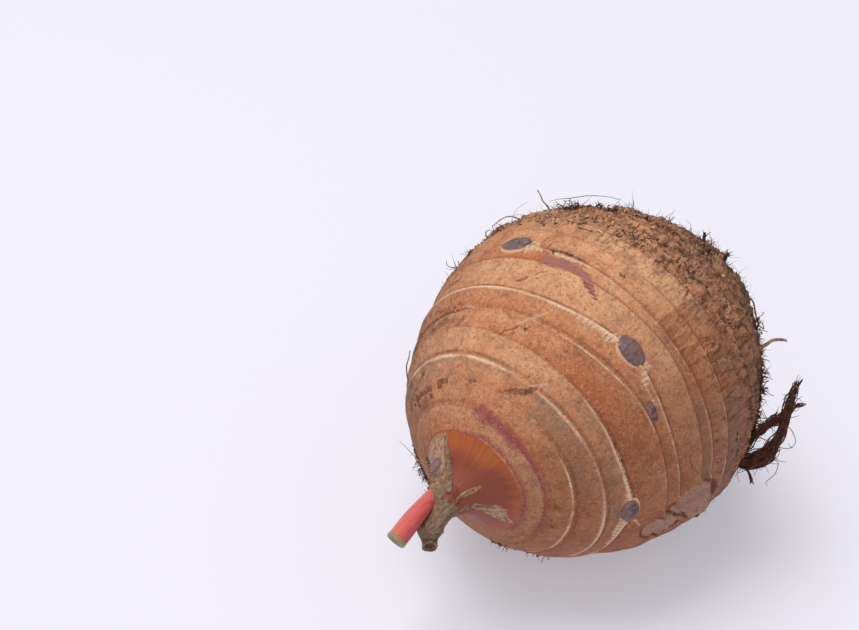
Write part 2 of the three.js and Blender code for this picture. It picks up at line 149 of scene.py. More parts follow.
GREY_STAINS = [
    [(41, 61, 1), (41, 73, 1.1)], [(37.5, 68, 0.8), (37.8, 74, 0.8)],
    [(36, 28, 1.5), (35, 45, 2.2), (35, 60, 2.2), (35.6, 76, 1.4)], [(35, -75, 2.4), (36, -40, 1.6)],
    [(30, 70, 1.6), (30, 100, 1.8)], [(-8, 75, 3), (-8, 102, 3)], [(3.6, 70, 1.4), (3.6, 96, 1.6)],
]
TORN_EDGES = [
    [(38.4, -64, 0.8), (38.2, -45, 0.5)], [(38.1, -38, 0.6), (37.6, -30, 0.5)],
    [(37.4, -12, 0.6), (37, -7, 0.3)],
    [(36.8, 8, 0.4), (34.9, 13, 0.9), (33.4, 19, 0.9), (31.6, 22.6, 0.4)],
    [(27, -7, 0.35), (24.8, -5.4, 0.6), (22.8, -2.4, 0.5), (21, 0.8, 0.35)],
    [(26, -3, 0.3), (23.8, -0.6, 0.3)], [(19.5, -75, 0.45), (19.3, -50, 0.4), (19.4, -25, 0.3)],
    [(18, -30, 0.5), (16.8, -36, 0.5)], [(8.6, -8, 0.35), (6.6, -4, 0.35)],
    [(6.2, 9.6, 0.35), (8.2, 17, 0.35)], [(11, -12.4, 0.6), (9.8, -9.5, 0.5)],
    [(26.2, 62, 0.3), (26, 85, 0.35)], [(39.9, 88, 0.5), (39.6, 92, 0.4)],
    [(40, 110, 0.5), (39, 111, 0.4)],
    [(38.7, 101, 0.3), (40, 101.5, 0.3), (40.2, 107, 0.3), (38.8, 107.5, 0.3)],
    [(10, 83, 0.3), (8, 88, 0.4)], [(35.2, -59, 0.7), (33.9, -55, 1), (33.6, -51, 0.4)],
]
SOIL_MARKS = [
    [(-17.2, -6, 0.7), (-17, 4, 1.2), (-17, 16, 1.4), (-17.4, 27, 0.7)],
    [(-13, 21.5, 0.5), (-16.4, 22, 1)], [(-15, -10, 0.5), (-17, -9, 0.8)],
    [(-10.4, -8, 0.7), (-11.5, 0, 0.5)], [(1.1, -9, 0.6), (0.8, 0, 0.5), (0.5, 6, 0.3)],
    [(-1.6, 16, 0.5), (-1.8, 18.5, 0.4)], [(-20.4, 45, 0.7), (-23, 46.5, 0.9)],
    [(-18.6, 30, 0.5), (-18.4, 72, 0.5), (-18.4, 100, 1)], [(-24.9, 62, 0.7), (-25, 104, 1.2)],
    [(-28.6, 70, 1), (-28.6, 104, 1.3)], [(-33, 50, 1), (-33, 98, 1.4)], [(-38, 56, 1.2), (-38, 90, 1.8)],
    [(-29, -26, 1), (-30, 4, 1.2)], [(-9, -42, 1.5), (-6, -47, 1.2), (2, -66, 1)],
    [(-18, -50, 2), (-12, -44, 1.4)], [(50.5, -84, 0.6), (47, -92, 1.2), (44.6, -97, 0.9)],
    [(-37.5, 62, 1.4), (-36, 74, 1.8), (-29.5, 78, 1.8), (-29.5, 90, 2.2), (-24.5, 91, 1.2)],
    [(-24.5, -34, 0.8), (-24.5, -25, 1.6), (-29, -20, 1.6), (-28.5, -8, 1.4)],
    [(-33, 21, 1.2), (-37.5, 27, 1.6)], [(37.5, -108, 1), (37.5, -120, 1.8), (38.5, -132, 1.6)],
    [(37.5, 178, 0.8), (37.5, 167, 1.2), (32.5, 162, 1.2), (28, 158, 1)],
    [(40, -66, 0.8), (37.6, -62, 1.4)], [(-44, 40, 2), (-46, 70, 2.4), (-44, 100, 1.6)],
    [(-26, -30, 1.2), (-30, -14, 1.8), (-31, 2, 1.6), (-32, 14, 1)],
    [(-21, 8, 0.9), (-22, 20, 1.4), (-25, 28, 1)],
]
CRUSTS = [
    [(25.6, -30, 0.9), (22.6, -28, 1.1)], [(24, -50, 1.3), (22.4, -40, 1.7), (23.2, -33, 1.1)],
    [(40, -62, 0.9), (39.6, -46, 0.7)], [(37.5, -74, 1.2), (36, -62, 1)],
    [(16.8, -52, 1.2), (17.4, -40, 0.8)], [(10, -54, 1.2), (9, -44, 0.9)],
]
# Ribs of the sheath that run down on to the cone, as (station, angle) paths and a radius
SHEATH_RIBS = [
    ([(56, 48), (52.6, 52), (49.4, 55)], 0.5), ([(56, 92), (52, 98), (49.4, 102), (47.4, 105)], 0.7),
    ([(56, 14), (52.6, -14), (49.8, -28), (46.8, -34), (44.6, -37)], 1.2),
    ([(55, -40), (52.5, -46), (50, -50)], 0.7), ([(55, -80), (50, -84), (46.5, -88)], 0.9),
]

# The stubs' middle lines, as (x, station, height over the axis, radius), and their ends, each ring
# as its share of the end's size and its depth below it
SHEATH_STUB = [
    (-0.4, 52.2, 0.4, 5.2), (-0.3, 53.8, 0.4, 4.9), (0, 55.6, 0, 4.7), (0.1, 56.8, -0.4, 4.3),
    (0.4, 58.4, -1, 3.3), (0.5, 60.2, -1.8, 2.9), (0.5, 61.8, -2.6, 3.1), (0.6, 63.1, -3.6, 3.5),
    (0.9, 63.9, -5, 2.7), (1.5, 64.7, -6, 2.1), (2.7, 66.1, -6.3, 2.1),
]
SHEATH_END = [(0.8, -0.15), (0.62, 0.25), (0.5, 1.1), (0.3, 1.3)]
STALK_STUB = [
    (-4.2, 53.5, 0.2, 1.7), (-4, 55, 0.4, 2), (-3, 60.4, 1.2, 2.3), (-1.6, 67.8, 1.9, 2.6),
    (0, 76.3, 2, 2.7),
]
STALK_END = [(0.96, -0.12), (0.84, 0.02), (0.6, 0.35), (0.25, 0.55)]
# The side towards which the stalk's cut leans
CUT_SLANT = (0.505, -0.63, 0.588)
# Where remains of the sheath lie on the cone
SHEATH_REMAINS = [
    [(55, 48, 0.9), (52.6, 52, 0.7), (49.4, 55, 0.3)], [(55, 92, 1), (52, 98, 0.8), (47.6, 104, 0.3)],
    [(50.4, 107, 1), (47.8, 113, 2), (46.6, 120, 2), (45.6, 127, 1)],
]

# The leaf sheath that still wraps one side of the cone
WRAP = {"thick": 1.3, "from": -150, "to": -32, "edge": 8, "start": 44.5}

# Hairs: depth in the skin, points along one, ranges of lean and size, noise waves to the metre,
# radius at the tip and sides. Flakes: thickness and how far they curl
HAIR = {"sunk": 0.3, "points": 7, "lean": (0.4, 1), "size": (0.35, 1), "waves": 260, "tip": 0.02, "sides": 3}
FLAKE = {"thick": 0.14, "curl": 1.6}

# The camera's turn and height angle, its shift from the corm's middle, its distance and lens
CAMERA = {"turn": 38.7, "height": 36, "left": 39.1, "up": 21.4, "away": 560, "lens": 85}
FLOOR_SIZE = 6000
# Lights over the floor, in metres: name, place, size, power and colour
LIT_POINT = (0, 0, 0.04)
LIGHTS = [
    ("key light", (-0.36, -0.1, 1.6), 1.1, 20, (1, 0.985, 0.97)),
    ("fill light", (0.7, -1.35, 1.1), 1.6, 7, (0.97, 0.97, 1)),
]


def linear(code):
    """An sRGB hex colour as the linear values that a shader takes."""
    parts = [int(code[i : i + 2], 16) / 255 for i in (0, 2, 4)]
    return (*[p / 12.92 if p <= 0.04045 else ((p + 0.055) / 1.055) ** 2.4 for p in parts], 1)


def apart(a, b):
    return (a - b + 180) % 360 - 180


def bell(distance, width):
    return np.exp(-((distance / width) ** 2))


def smooth(value, low, high):
    t = np.clip((value - low) / (high - low), 0, 1)
    return t * t * (3 - 2 * t)


def window(angle, low, high, soft):
    """1 between two angles, falling to 0 over the soft margin outside them."""
    half = (high - low) / 2
    return 1 - smooth(np.abs(apart(angle, (low + high) / 2)), half, half + soft)


def grain(points, size, seed):
    """Smooth random values from -1 to 1 in space, with features about size across."""
    place = points / size
    cell = np.floor(place).astype(np.int64)
    part = place - cell
    part = part * part * (3 - 2 * part)
    total = np.zeros(points.shape[:-1])
    for corner in range(8):
        step = np.array([corner & 1, corner >> 1 & 1, corner >> 2 & 1])
        key = (cell + step) @ np.array([73856093, 19349663, 83492791]) + seed * 668265263
        key = (key ^ (key >> 13)) * 1274126177 & 0x7FFFFFFF
        key = (key ^ (key >> 15)) * 668265263 & 0x7FFFFFFF
        value = (key >> 7 & 0xFFFF) / 32767.5 - 1
        total += value * np.prod(np.where(step, part, 1 - part), axis=-1)
    return total


def layered(points, size, seed, layers=3):
    """Random values with finer detail on top, from about -1 to 1."""
    total, weight = 0, 1
    for layer in range(layers):
        total = total + weight * grain(points, size / 2**layer, seed + layer)
        weight *= 0.5
    return total / 1.5


def park(seed):
    """Random numbers between 0 and 1 that repeat for a seed, as in the frame's source."""
    state = seed
    while True:
        state = state * 16807 % 2147483647
        yield state / 2147483647


def all_scars():
    random = park(7)
    scars = list(LEAF_SCARS)
    station = OLD_SCARS["first"]
    for index in range(OLD_SCARS["count"]):
        lean = OLD_SCARS["lean"] * next(random)
        side = 360 * next(random)
        scars.append((f"old {index}", station, lean, side, OLD_SCARS["ridge"], None))
        station -= OLD_SCARS["spacing"] - OLD_SCARS["closing"] * index
    return scars


SCARS = all_scars()


def plain_radius(station):
    """The outline's radius: a smooth curve through its squared radii."""
    at, square = OUTLINE[:, 0], OUTLINE[:, 1] ** 2
    before = np.maximum(np.arange(len(at)) - 1, 0)
    after = np.minimum(np.arange(len(at)) + 1, len(at) - 1)
    slope = (square[after] - square[before]) / (at[after] - at[before])
    station = np.clip(station, at[0], at[-1])
    index = np.clip(np.searchsorted(at, station, side="left") - 1, 0, len(at) - 2)
    length = at[index + 1] - at[index]
    t = (station - at[index]) / length
    start = (2 * t**3 - 3 * t**2 + 1) * square[index] + (t**3 - 2 * t**2 + t) * length * slope[index]
    end = (3 * t**2 - 2 * t**3) * square[index + 1] + (t**3 - t**2) * length * slope[index + 1]
    return np.sqrt(np.maximum(start + end, 0))


def scar_offset(scar, angle):
    _, _, lean, side, _, pull = scar
    offset = lean * np.cos(np.radians(angle - side))
    if pull:
        offset = offset - pull[0] * bell(apart(angle, pull[1]), pull[2])
    return offset


def bend(station, angle):
    """How far the skin at a station follows the scars on either side of it."""
    result = np.zeros(np.broadcast(station, angle).shape)
    first, last = SCARS[0], SCARS[-1]
    fade = np.clip(1 - (station - first[1]) / 4, 0, 1)
    result = np.where(station > first[1], fade * scar_offset(first, angle), result)
    for upper, lower in zip(SCARS, SCARS[1:]):
        share = (station - lower[1]) / (upper[1] - lower[1])
        mixed = share * scar_offset(upper, angle) + (1 - share) * scar_offset(lower, angle)
        result = np.where((station <= upper[1]) & (station >= lower[1]), mixed, result)
    fade = np.clip(1 - (last[1] - station) / 3, 0, 1)
    return np.where(station < last[1], fade * scar_offset(last, angle), result)


def place(station, angle, radius):
    """A point by its station, angle and distance from the axis, in the frame, in millimetres."""
    turn = np.radians(angle)
    above = radius * np.cos(turn)
    x = radius * np.sin(turn) - ORIGIN[0]
    y = -station * math.cos(AXIS_DIP) - above * math.sin(AXIS_DIP) - ORIGIN[1]
    z = AXIS_HEIGHT - station * math.sin(AXIS_DIP) + above * math.cos(AXIS_DIP)
    return np.stack(np.broadcast_arrays(x, y, z), axis=-1)


def broad_relief(station, along, angle):
    """The lumps of the body that the frame has too: shoulder, bark swell and sheath wrap."""
    turn = np.radians(angle)
    root = smooth(-along, 12, 42)
    coarse = np.sin(3 * turn + 0.11 * along) + np.sin(5 * turn - 0.17 * along + 2)
    fine = np.sin(13 * turn + 0.6 * along) * np.sin(9 * turn - 0.8 * along + 1)
    bark = 0.18 * coarse * (1 + root) + 0.45 * fine * root
    aside = apart(angle, SHOULDER["angle"])
    full = SHOULDER["lift"] * bell(along - SHOULDER["station"], SHOULDER["length"])
    full = full * bell(aside, SHOULDER["spread"]) * np.cos(np.radians(SHOULDER["waves"] * aside))
    wrap = WRAP["thick"] * window(angle, WRAP["from"], WRAP["to"], WRAP["edge"])
    wrap = wrap * smooth(along, WRAP["start"], WRAP["start"] + 2)
    return (1 - smooth(station, 40, 46)) * bark + full + wrap


def scar_relief(station):
    lift = 0
    for _, at, _, _, ridge, _ in SCARS:
        lift += ridge * bell(station - at, 0.55 * RIDGE_FOOT)
        lift -= ridge * GROOVE_SHARE * bell(station - at - RIDGE_FOOT, 0.6 * RIDGE_FOOT)
    return lift


def skin_point(station, angle, lift=0):
    """A point on the plain skin, or above it."""
    station, angle = np.asarray(station, float), np.asarray(angle, float)
    along = station + bend(station, angle)
    base = plain_radius(along)
    taper = np.where(station > 40, 1, np.minimum(base / 12, 1))
    relief = (scar_relief(station) + broad_relief(station, along, angle)) * taper
    return place(along, angle, base + relief + lift)


def unit(vector):
    return vector / np.linalg.norm(vector, axis=-1, keepdims=True)


def skin_frame(station, angle):
    """A point on the skin with its outward, round and lengthwise directions."""
    here = skin_point(station, angle)
    ahead = skin_point(station + 1.5, angle) - here
    round_way = skin_point(station, angle + 3) - here
    out = unit(np.cross(ahead, round_way))
    across = unit(round_way)
    return here, out, across, np.cross(across, out)


def add(tree, kind, links=None, **settings):
    """Add a node with its settings. A link is a value, a node or a (node, output name) pair."""
    node = tree.nodes.new(kind)
    for key, value in settings.items():
        setattr(node, key, value)
    for key, value in (links or {}).items():
        socket = [s for s in node.inputs if s.enabled and key in (s.name, s.identifier)][0]
        if isinstance(value, bpy.types.Node):
            value = (value, None)
        if isinstance(value, tuple) and isinstance(value[0], bpy.types.Node):
            source, name = value
            outputs = [s for s in source.outputs if s.enabled and name in (None, s.name)]
            tree.links.new(outputs[0], socket)
        else:
            socket.default_value = value
    return node


def new_object(name, points, faces, masks=None, edges=()):
    """A mesh object from points in millimetres, with a float attribute for each mask."""
    mesh = bpy.data.meshes.new(name)
    mesh.from_pydata((np.asarray(points) * MM).tolist(), list(edges), faces)
    for key, values in (masks or {}).items():
        layer = mesh.attributes.new(key, "FLOAT", "POINT")
        layer.data.foreach_set("value", np.asarray(values, np.float32).ravel())
    mesh.polygons.foreach_set("use_smooth", [True] * len(mesh.polygons))
    mesh.validate()
    made = bpy.data.objects.new(name, mesh)
    bpy.context.scene.collection.objects.link(made)
    return made


def dress(made, material, slot, *nodes):
    """Give a finished piece its material and its body, and hide the frame's nodes it stands for. The slot is
    not used.
    """
    if material and not made.data.materials:
        made.data.materials.append(material)
    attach(made, "root")
    if nodes:
        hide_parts(*nodes)


def skin_stations():
    """Stations of the mesh rows: on each scar, close beside it, and evenly between scars."""
    close = (0.2, 0.5, 1)
    fixed = [scar[1] for scar in SCARS]
    rows = set(fixed)
    for at in fixed:
        for step in close:
            for near in (at - step, at + step):
                if min(abs(near - other) for other in rows) > 0.15:
                    rows.add(near)
    pole, shell = OUTLINE[0][0], 3.6
    rows.add(NECK_END)
    rows.add(pole + shell)
    rows = sorted((row for row in rows if row >= pole + shell), reverse=True)
    filled = [rows[0]]
    for row in rows[1:]:
        gap = filled[-1] - row
        count = math.ceil(gap / ROW_STEP)
        start = filled[-1]
        filled += [start - gap * i / count for i in range(1, count + 1)]
    end_rows = 24
    filled += [pole + shell * (1 - i / end_rows) ** 2 for i in range(1, end_rows)]
    return np.array(filled)


class Skin:
    """The corm's skin as a grid of rows by columns, with its marks as masks from 0 to 1."""

    def __init__(self):
        self.rows = skin_stations()
        angles = np.arange(COLUMNS) * 360 / COLUMNS
        self.station, self.angle = np.meshgrid(self.rows, angles, indexing="ij")
        self.along = self.station + bend(self.station, self.angle)
        self.base = plain_radius(self.along)
        self.points = place(self.along, self.angle, self.base)
        self.ragged = layered(self.points, 2.4, 31)

    def trail(self, path, rough=0.5):
        """A ragged mask along a path."""
        best = np.full(self.station.shape, 9.0)
        for (s0, a0, w0), (s1, a1, w1) in zip(path, path[1:]):
            reach = math.radians(1) * float(plain_radius(np.array((s0 + s1) / 2)))
            x, y = apart(self.angle, a0) * reach, self.station - s0
            dx, dy = (a1 - a0) * reach, s1 - s0
            t = np.clip((x * dx + y * dy) / (dx * dx + dy * dy), 0, 1)
            gap = np.hypot(x - t * dx, y - t * dy) / (w0 + (w1 - w0) * t)
            best = np.minimum(best, gap)
        return 1 - smooth(best + rough * self.ragged, 0.75, 1.15)

    def oval(self, station, angle, size_round, size_along, rough=0.0):
        """Distance from an oval's centre, 1 at its edge."""
        reach = math.radians(1) * float(plain_radius(np.array(station)))
        x = apart(self.angle, angle) * reach / (size_round / 2)
        y = (self.along - station) / (size_along / 2)
        return np.hypot(x, y) + rough * self.ragged


def dome(distance, proud):
    """Height of a low lump over the skin, by distance from its centre as a share of its size."""
    inside = np.sqrt(np.maximum(1 - distance**2, 0))
    return np.where(distance < 1, np.maximum(proud * (2.2 * inside - 1.2), 0), 0)


def by_angle(angle, values):
    """Values that are given at the table's angles, mixed between them."""
    middle = (values[0] + values[-1]) / 2
    return np.interp(apart(angle, 0), (-180, *BAND_ANGLES, 180), (middle, *values, middle))


def along_paths(skin, paths, rough):
    best = np.zeros(skin.station.shape)
    for path in paths:
        best = np.maximum(best, skin.trail(path, rough))
    return best


def skin_masks(skin):
    """The marks on the skin, each from 0 to 1."""
    s, a, p, along = skin.station, skin.angle, skin.points, skin.along
    masks = {}
    seam = SEAM["angle"] + SEAM["wander"] * layered(p, 5, 83)
    past = apart(a, seam) * math.radians(1) * skin.base
    beside = (s < SEAM["from"]) & (np.abs(apart(a, 35)) < 15)
    shown = np.where(beside, np.where(past < 0, 20, 50), apart(a, 0))
    tone, murk, line, shade = np.full(s.shape, 0.35), np.full(s.shape, 0.5), np.zeros(s.shape), 0
    for index, (upper, lower) in enumerate(zip(SCARS, SCARS[1:])):
        tones, murks = BANDS[min(index, len(BANDS) - 1)]
        inside = (s <= upper[1]) & (s > lower[1])
        down = (upper[1] - s) / (upper[1] - lower[1])
        tone = np.where(inside, by_angle(shown, tones) + 0.5 * (down - 0.45), tone)
        murk = np.where(inside, by_angle(shown, murks) * (0.7 + 0.5 * down), murk)
    lengthwise = layered(p * np.array([1, 0.3, 1]), 2.6, 45)
    masks["tone"] = tone + 0.2 * layered(p, 9, 41) + 0.15 * layered(p, 3, 44) + 0.2 * lengthwise
    # Painted shade: the bark darkens away from the top, towards the sides and underside
    masks["low"] = smooth(np.abs(apart(a, -5)), 10, 90)

    broken = 0.55 + 0.45 * smooth(layered(p, 6, 51), -0.5, 0.2)
    stitched = smooth(layered(p * np.array([1, 0.6, 1]), 2.2, 53), -0.1, 0.3)
    for name, at, _, _, _, _ in SCARS:
        width, values = SCAR_LINES.get(name, OLD_LINE)
        strength = by_angle(a, values) * (broken if at > -10 else 0.6 * stitched)
        line = np.maximum(line, bell(s - at, width) * strength)
        # The shade mask is painted shade, a dark band just on the root side of each scar line
        shade = np.maximum(shade, 0.8 * bell(s - at + 0.9, 0.55) * (0.4 + 0.6 * strength))
    masks["line"] = line
    masks["shade"] = shade

    rim = np.zeros(s.shape)
    for station, angle, size_round, size_along, _, greyness in BUDS[:-1]:
        at = station + bend(np.array(station), np.array(angle))
        gap = skin.oval(at, angle, size_round, size_along, 0.04)
        if greyness:
            rim = np.maximum(rim, 1 - smooth(np.abs(gap - 1.05), 0.1, 0.25))
    rungs = 0.74 + 0.26 * np.sin(3.1 * a + 3 * skin.ragged)
    masks["band"] = np.maximum(along_paths(skin, BAND_TAILS, 0.3) * rungs, 0.35 * rim)
    ridge = bell(past, 0.5) * window(s, SEAM["to"], SEAM["from"], 0.5)
    ridge = np.maximum(ridge * smooth(layered(p, 3, 85), -0.5, 0), along_paths(skin, PALE_CREASES, 0.4))
    masks["crease"] = ridge

    edge = 12 + 10 * layered(p, 14, 61) + 4 * window(a, 55, 120, 25) - 14 * window(a, 150, 290, 30)
    worn = smooth(-along, edge, edge + 24)
    masks["worn"] = worn
    beyond = smooth(past, -0.3, 0.3) * window(a, 40, 110, 30) * smooth(-s, -3, 1)
    left = smooth(-apart(a, -50), -12, 10) * (1 - smooth(s, 26, 40))
    streaky = 0.1 + 0.5 * beyond + 0.7 * left * window(a, -110, -45, 20) + 0.9 * smooth(-s, 3, 16)
    masks["streaky"] = np.clip(streaky, 0, 1) * (1 - smooth(s, 43, 44))
    torn = smooth(-along + 9 * layered(p, 11, 63), 6, 16)
    dirt = layered(p, 7, 71) + 0.5 * layered(p, 1.8, 74)
    soil = smooth(dirt, 0.3, 0.6) * smooth(-along, 16, 34)
    soil = np.maximum(soil, smooth(dirt, 0.1, 0.5) * smooth(-along, 44, 54))
    strips = layered(p * np.array([1, 0.2, 1]), 1.7, 78)
    masks["strip"] = np.clip(0.5 + 0.7 * strips, 0, 1)
    gaps = smooth(-strips, 0.2, 0.5) * smooth(-along, 10, 26) * smooth(dirt, -0.5, 0.2)
    soil = np.maximum(soil, 0.85 * gaps)
    patchy = 0.35 + 0.65 * smooth(layered(p, 3, 77), -0.35, 0.25)
    soil = np.maximum(soil, along_paths(skin, SOIL_MARKS, 0.9) * patchy)
    for _, at, _, _, _, _ in SCARS[9:]:
        below = bell(s - at + 0.9, 0.6) * smooth(dirt, -0.4, 0.3)
        soil = np.maximum(soil, 0.9 * below * smooth(-along, 2, 20))
    masks["soil"] = soil
    peel = smooth(layered(p, 9, 81), 0.02, 0.1) * torn
    masks["peel"] = peel
    masks["crust"] = np.clip(along_paths(skin, CRUSTS, 1.1), 0, 1)
    stain = 0.3 * along_paths(skin, GREY_STAINS, 1.6) + murk + 0.45 * layered(p, 4, 91)
    masks["stain"] = np.clip(stain, 0, 1) * (1 - smooth(s, 43.4, 44))
    masks["tear"] = along_paths(skin, TORN_EDGES, 0.6)
    masks["pink"] = skin.trail(PINK_TAIL, 0.25)

    thick = 0.42 + 0.6 * window(a, 4, 34, 12)
    ring = bell(s - 41.4, thick) * window(a, -60, 125, 12) * (0.5 + 0.45 * window(a, 0, 125, 8))
    ring = ring + 0.3 * bell(s - 41.4, thick) * window(a, 0, 45, 15)
    foot = bell(s - 43.6 - 0.4 * window(a, -180, 0, 15), 0.5) * (0.65 + 0.35 * window(a, 0, 130, 20))
    halo = 1 - smooth(skin.oval(41.2, 5, 6, 4, 0.3), 0.4, 1.3)
    masks["purple"] = np.clip(np.maximum(np.maximum(ring, foot), 0.9 * halo), 0, 1)
    masks["cone"] = smooth(s, 44, 44.3)
    masks["neck"] = smooth(along + 2.4 * (1 - window(a, -45, 20, 40)), 45.4, 49)
    turn = np.radians(a)
    spoke_place = np.stack([9 * np.cos(turn), 9 * np.sin(turn), 0.05 * along], axis=-1)
    masks["spoke"] = 0.5 + 0.3 * grain(spoke_place, 0.55, 101) + 0.25 * grain(spoke_place, 0.2, 102)
    masks["spun"] = 0.016 * turn + 0.00004 * (along - 44)
    reddish = window(a, -40, -6, 20) * smooth(along, 45.4, 47.4) * (1 - smooth(along, 49, 52))
    masks["violet"] = 0.7 * reddish + 0.5 * window(a, 110, 150, 20)
    aside = np.abs(apart(a, (WRAP["from"] + WRAP["to"]) / 2))
    half = (WRAP["to"] - WRAP["from"]) / 2 + 1.5 * (along - 48) + 4 * layered(p, 3, 111)
    straw = (1 - smooth(aside - half, -2, 2)) * smooth(along, 44.2, 44.8)
    masks["straw"] = np.maximum(straw, along_paths(skin, SHEATH_REMAINS, 0.8))
    wound, rim = np.zeros(s.shape), np.zeros(s.shape)
    for face in WOUND_FACES:
        gap = skin.oval(*face, 0.09)
        wound = np.maximum(wound, 1 - smooth(gap, 0.84, 0.92))
        rim = np.maximum(rim, bell(gap - 0.98, 0.1))
    masks["wound"] = wound
    masks["rim"] = rim * (1 - wound)
    masks["split"] = along_paths(skin, WOUND_SPLITS, 0.6)
    masks["hairy"] = np.clip(0.2 * worn + 0.8 * soil + 0.15 * masks["crust"], 0, 1)
    flaky = np.clip(peel * (1 - peel) * 4, 0, 1) + 0.5 * masks["rim"] + 0.3 * masks["tear"]
    fringe = bell(s + 30, 4) * window(a, -30, 30, 10)
    masks["flaky"] = flaky + 0.8 * ridge + 1.2 * fringe + 0.5 * line * smooth(-s, 8, 16)
    return masks


def skin_relief(skin, masks, sizes):
    """Height of the skin's detail over the plain outline."""
    s, a, p, along = skin.station, skin.angle, skin.points, skin.along
    lift = 0.8 * scar_relief(s) + broad_relief(s, along, a)
    crest = 0.6 + 0.5 * layered(p, 5, 52)
    for _, at, _, _, ridge, _ in SCARS:
        lift += sizes.scar_crest / MM * ridge * bell(s - at, 0.3) * crest
    bare = 1 - smooth(s, 43.5, 44.5)
    worn, peel, soil = masks["worn"], masks["peel"], masks["soil"]
    lift += bare * 0.05 * layered(p, 1.5, 121)
    lift += worn * (0.5 * layered(p, 6, 123) + 0.15 * layered(p, 1.7, 125, 2))
    lift += smooth(-along, 4, 20) * 0.75 * (masks["strip"] - 0.5)
    lift += 0.6 * bell(skin.oval(41.4, 5, 3.4, 2.6), 0.7)
    lift += 0.35 * masks["crease"]
    cracks = bell(layered(p * np.array([1, 0.45, 1]), 5, 127), 0.06)
    lift -= 0.7 * worn * cracks
    lift -= 0.4 * peel
    lift += 0.5 * bell(layered(p, 9, 81), 0.05) * smooth(-along, 8, 18)
    lift += soil * (0.15 + 0.5 * layered(p, 1.6, 129, 2))
    lift += masks["crust"] * 0.35 * layered(p, 1.3, 131, 2)
    lift -= 0.35 * masks["tear"]
    lift += 0.25 * bell(masks["tear"] - 0.25, 0.2)
    lift += 0.12 * masks["band"]
    lift += 0.12 * masks["pink"]
    cone = masks["cone"] * (1 - masks["straw"])
    lift += 0.16 * cone * (masks["spoke"] - 0.5)
    lift += masks["straw"] * 0.5 * (masks["spoke"] - 0.5)
    for station, angle, size_round, size_along, _, _ in BUDS[:-1]:
        at = station + bend(np.array(station), np.array(angle))
        gap = skin.oval(at, angle, size_round, size_along)
        lift -= 0.5 * (1 - smooth(gap, 0.7, 1))
        lift += 0.3 * bell(gap - 1.12, 0.13)
    for at, angle, size_round, size_along, proud in WOUND:
        lift += dome(np.minimum(skin.oval(at, angle, size_round, size_along, 0.04), 1), proud)
    for face in WOUND_FACES:
        gap = skin.oval(*face, 0.06)
        lift -= 0.5 * bell(gap - 0.93, 0.05)
        lift += 0.5 * bell(gap - 1.08, 0.09) * (1 + skin.ragged)
    lift -= 0.6 * masks["split"]
    taper = np.where(s > 40, 1, np.minimum(skin.base / 12, 1))
    return lift * taper


def build_skin(sizes):
    """The whole skin as one closed mesh, flat where the corm rests."""
    skin = Skin()
    masks = skin_masks(skin)
    points = place(skin.along, skin.angle, skin.base + skin_relief(skin, masks, sizes))
    points[..., 2] = np.maximum(points[..., 2], 0)
    rows, columns = skin.station.shape
    corners = np.arange(rows * columns).reshape(rows, columns)
    right = np.roll(corners, -1, axis=1)
    quads = np.stack([corners[:-1], corners[1:], right[1:], right[:-1]], axis=-1)
    faces = quads.reshape(-1, 4).tolist()
    neck, pole = rows * columns, rows * columns + 1
    faces += [(neck, int(i), int(j)) for i, j in zip(corners[0], right[0])]
    faces += [(pole, int(j), int(i)) for i, j in zip(corners[-1], right[-1])]
    tips = np.array([place(NECK_END, 0, 0), place(OUTLINE[0][0], 0, 0)])
    points = np.concatenate([points.reshape(-1, 3), tips])
    ends = {key: np.append(value.ravel(), [value[0, 0], value[-1, 0]]) for key, value in masks.items()}
    return new_object("corm_skin", points, faces, ends)


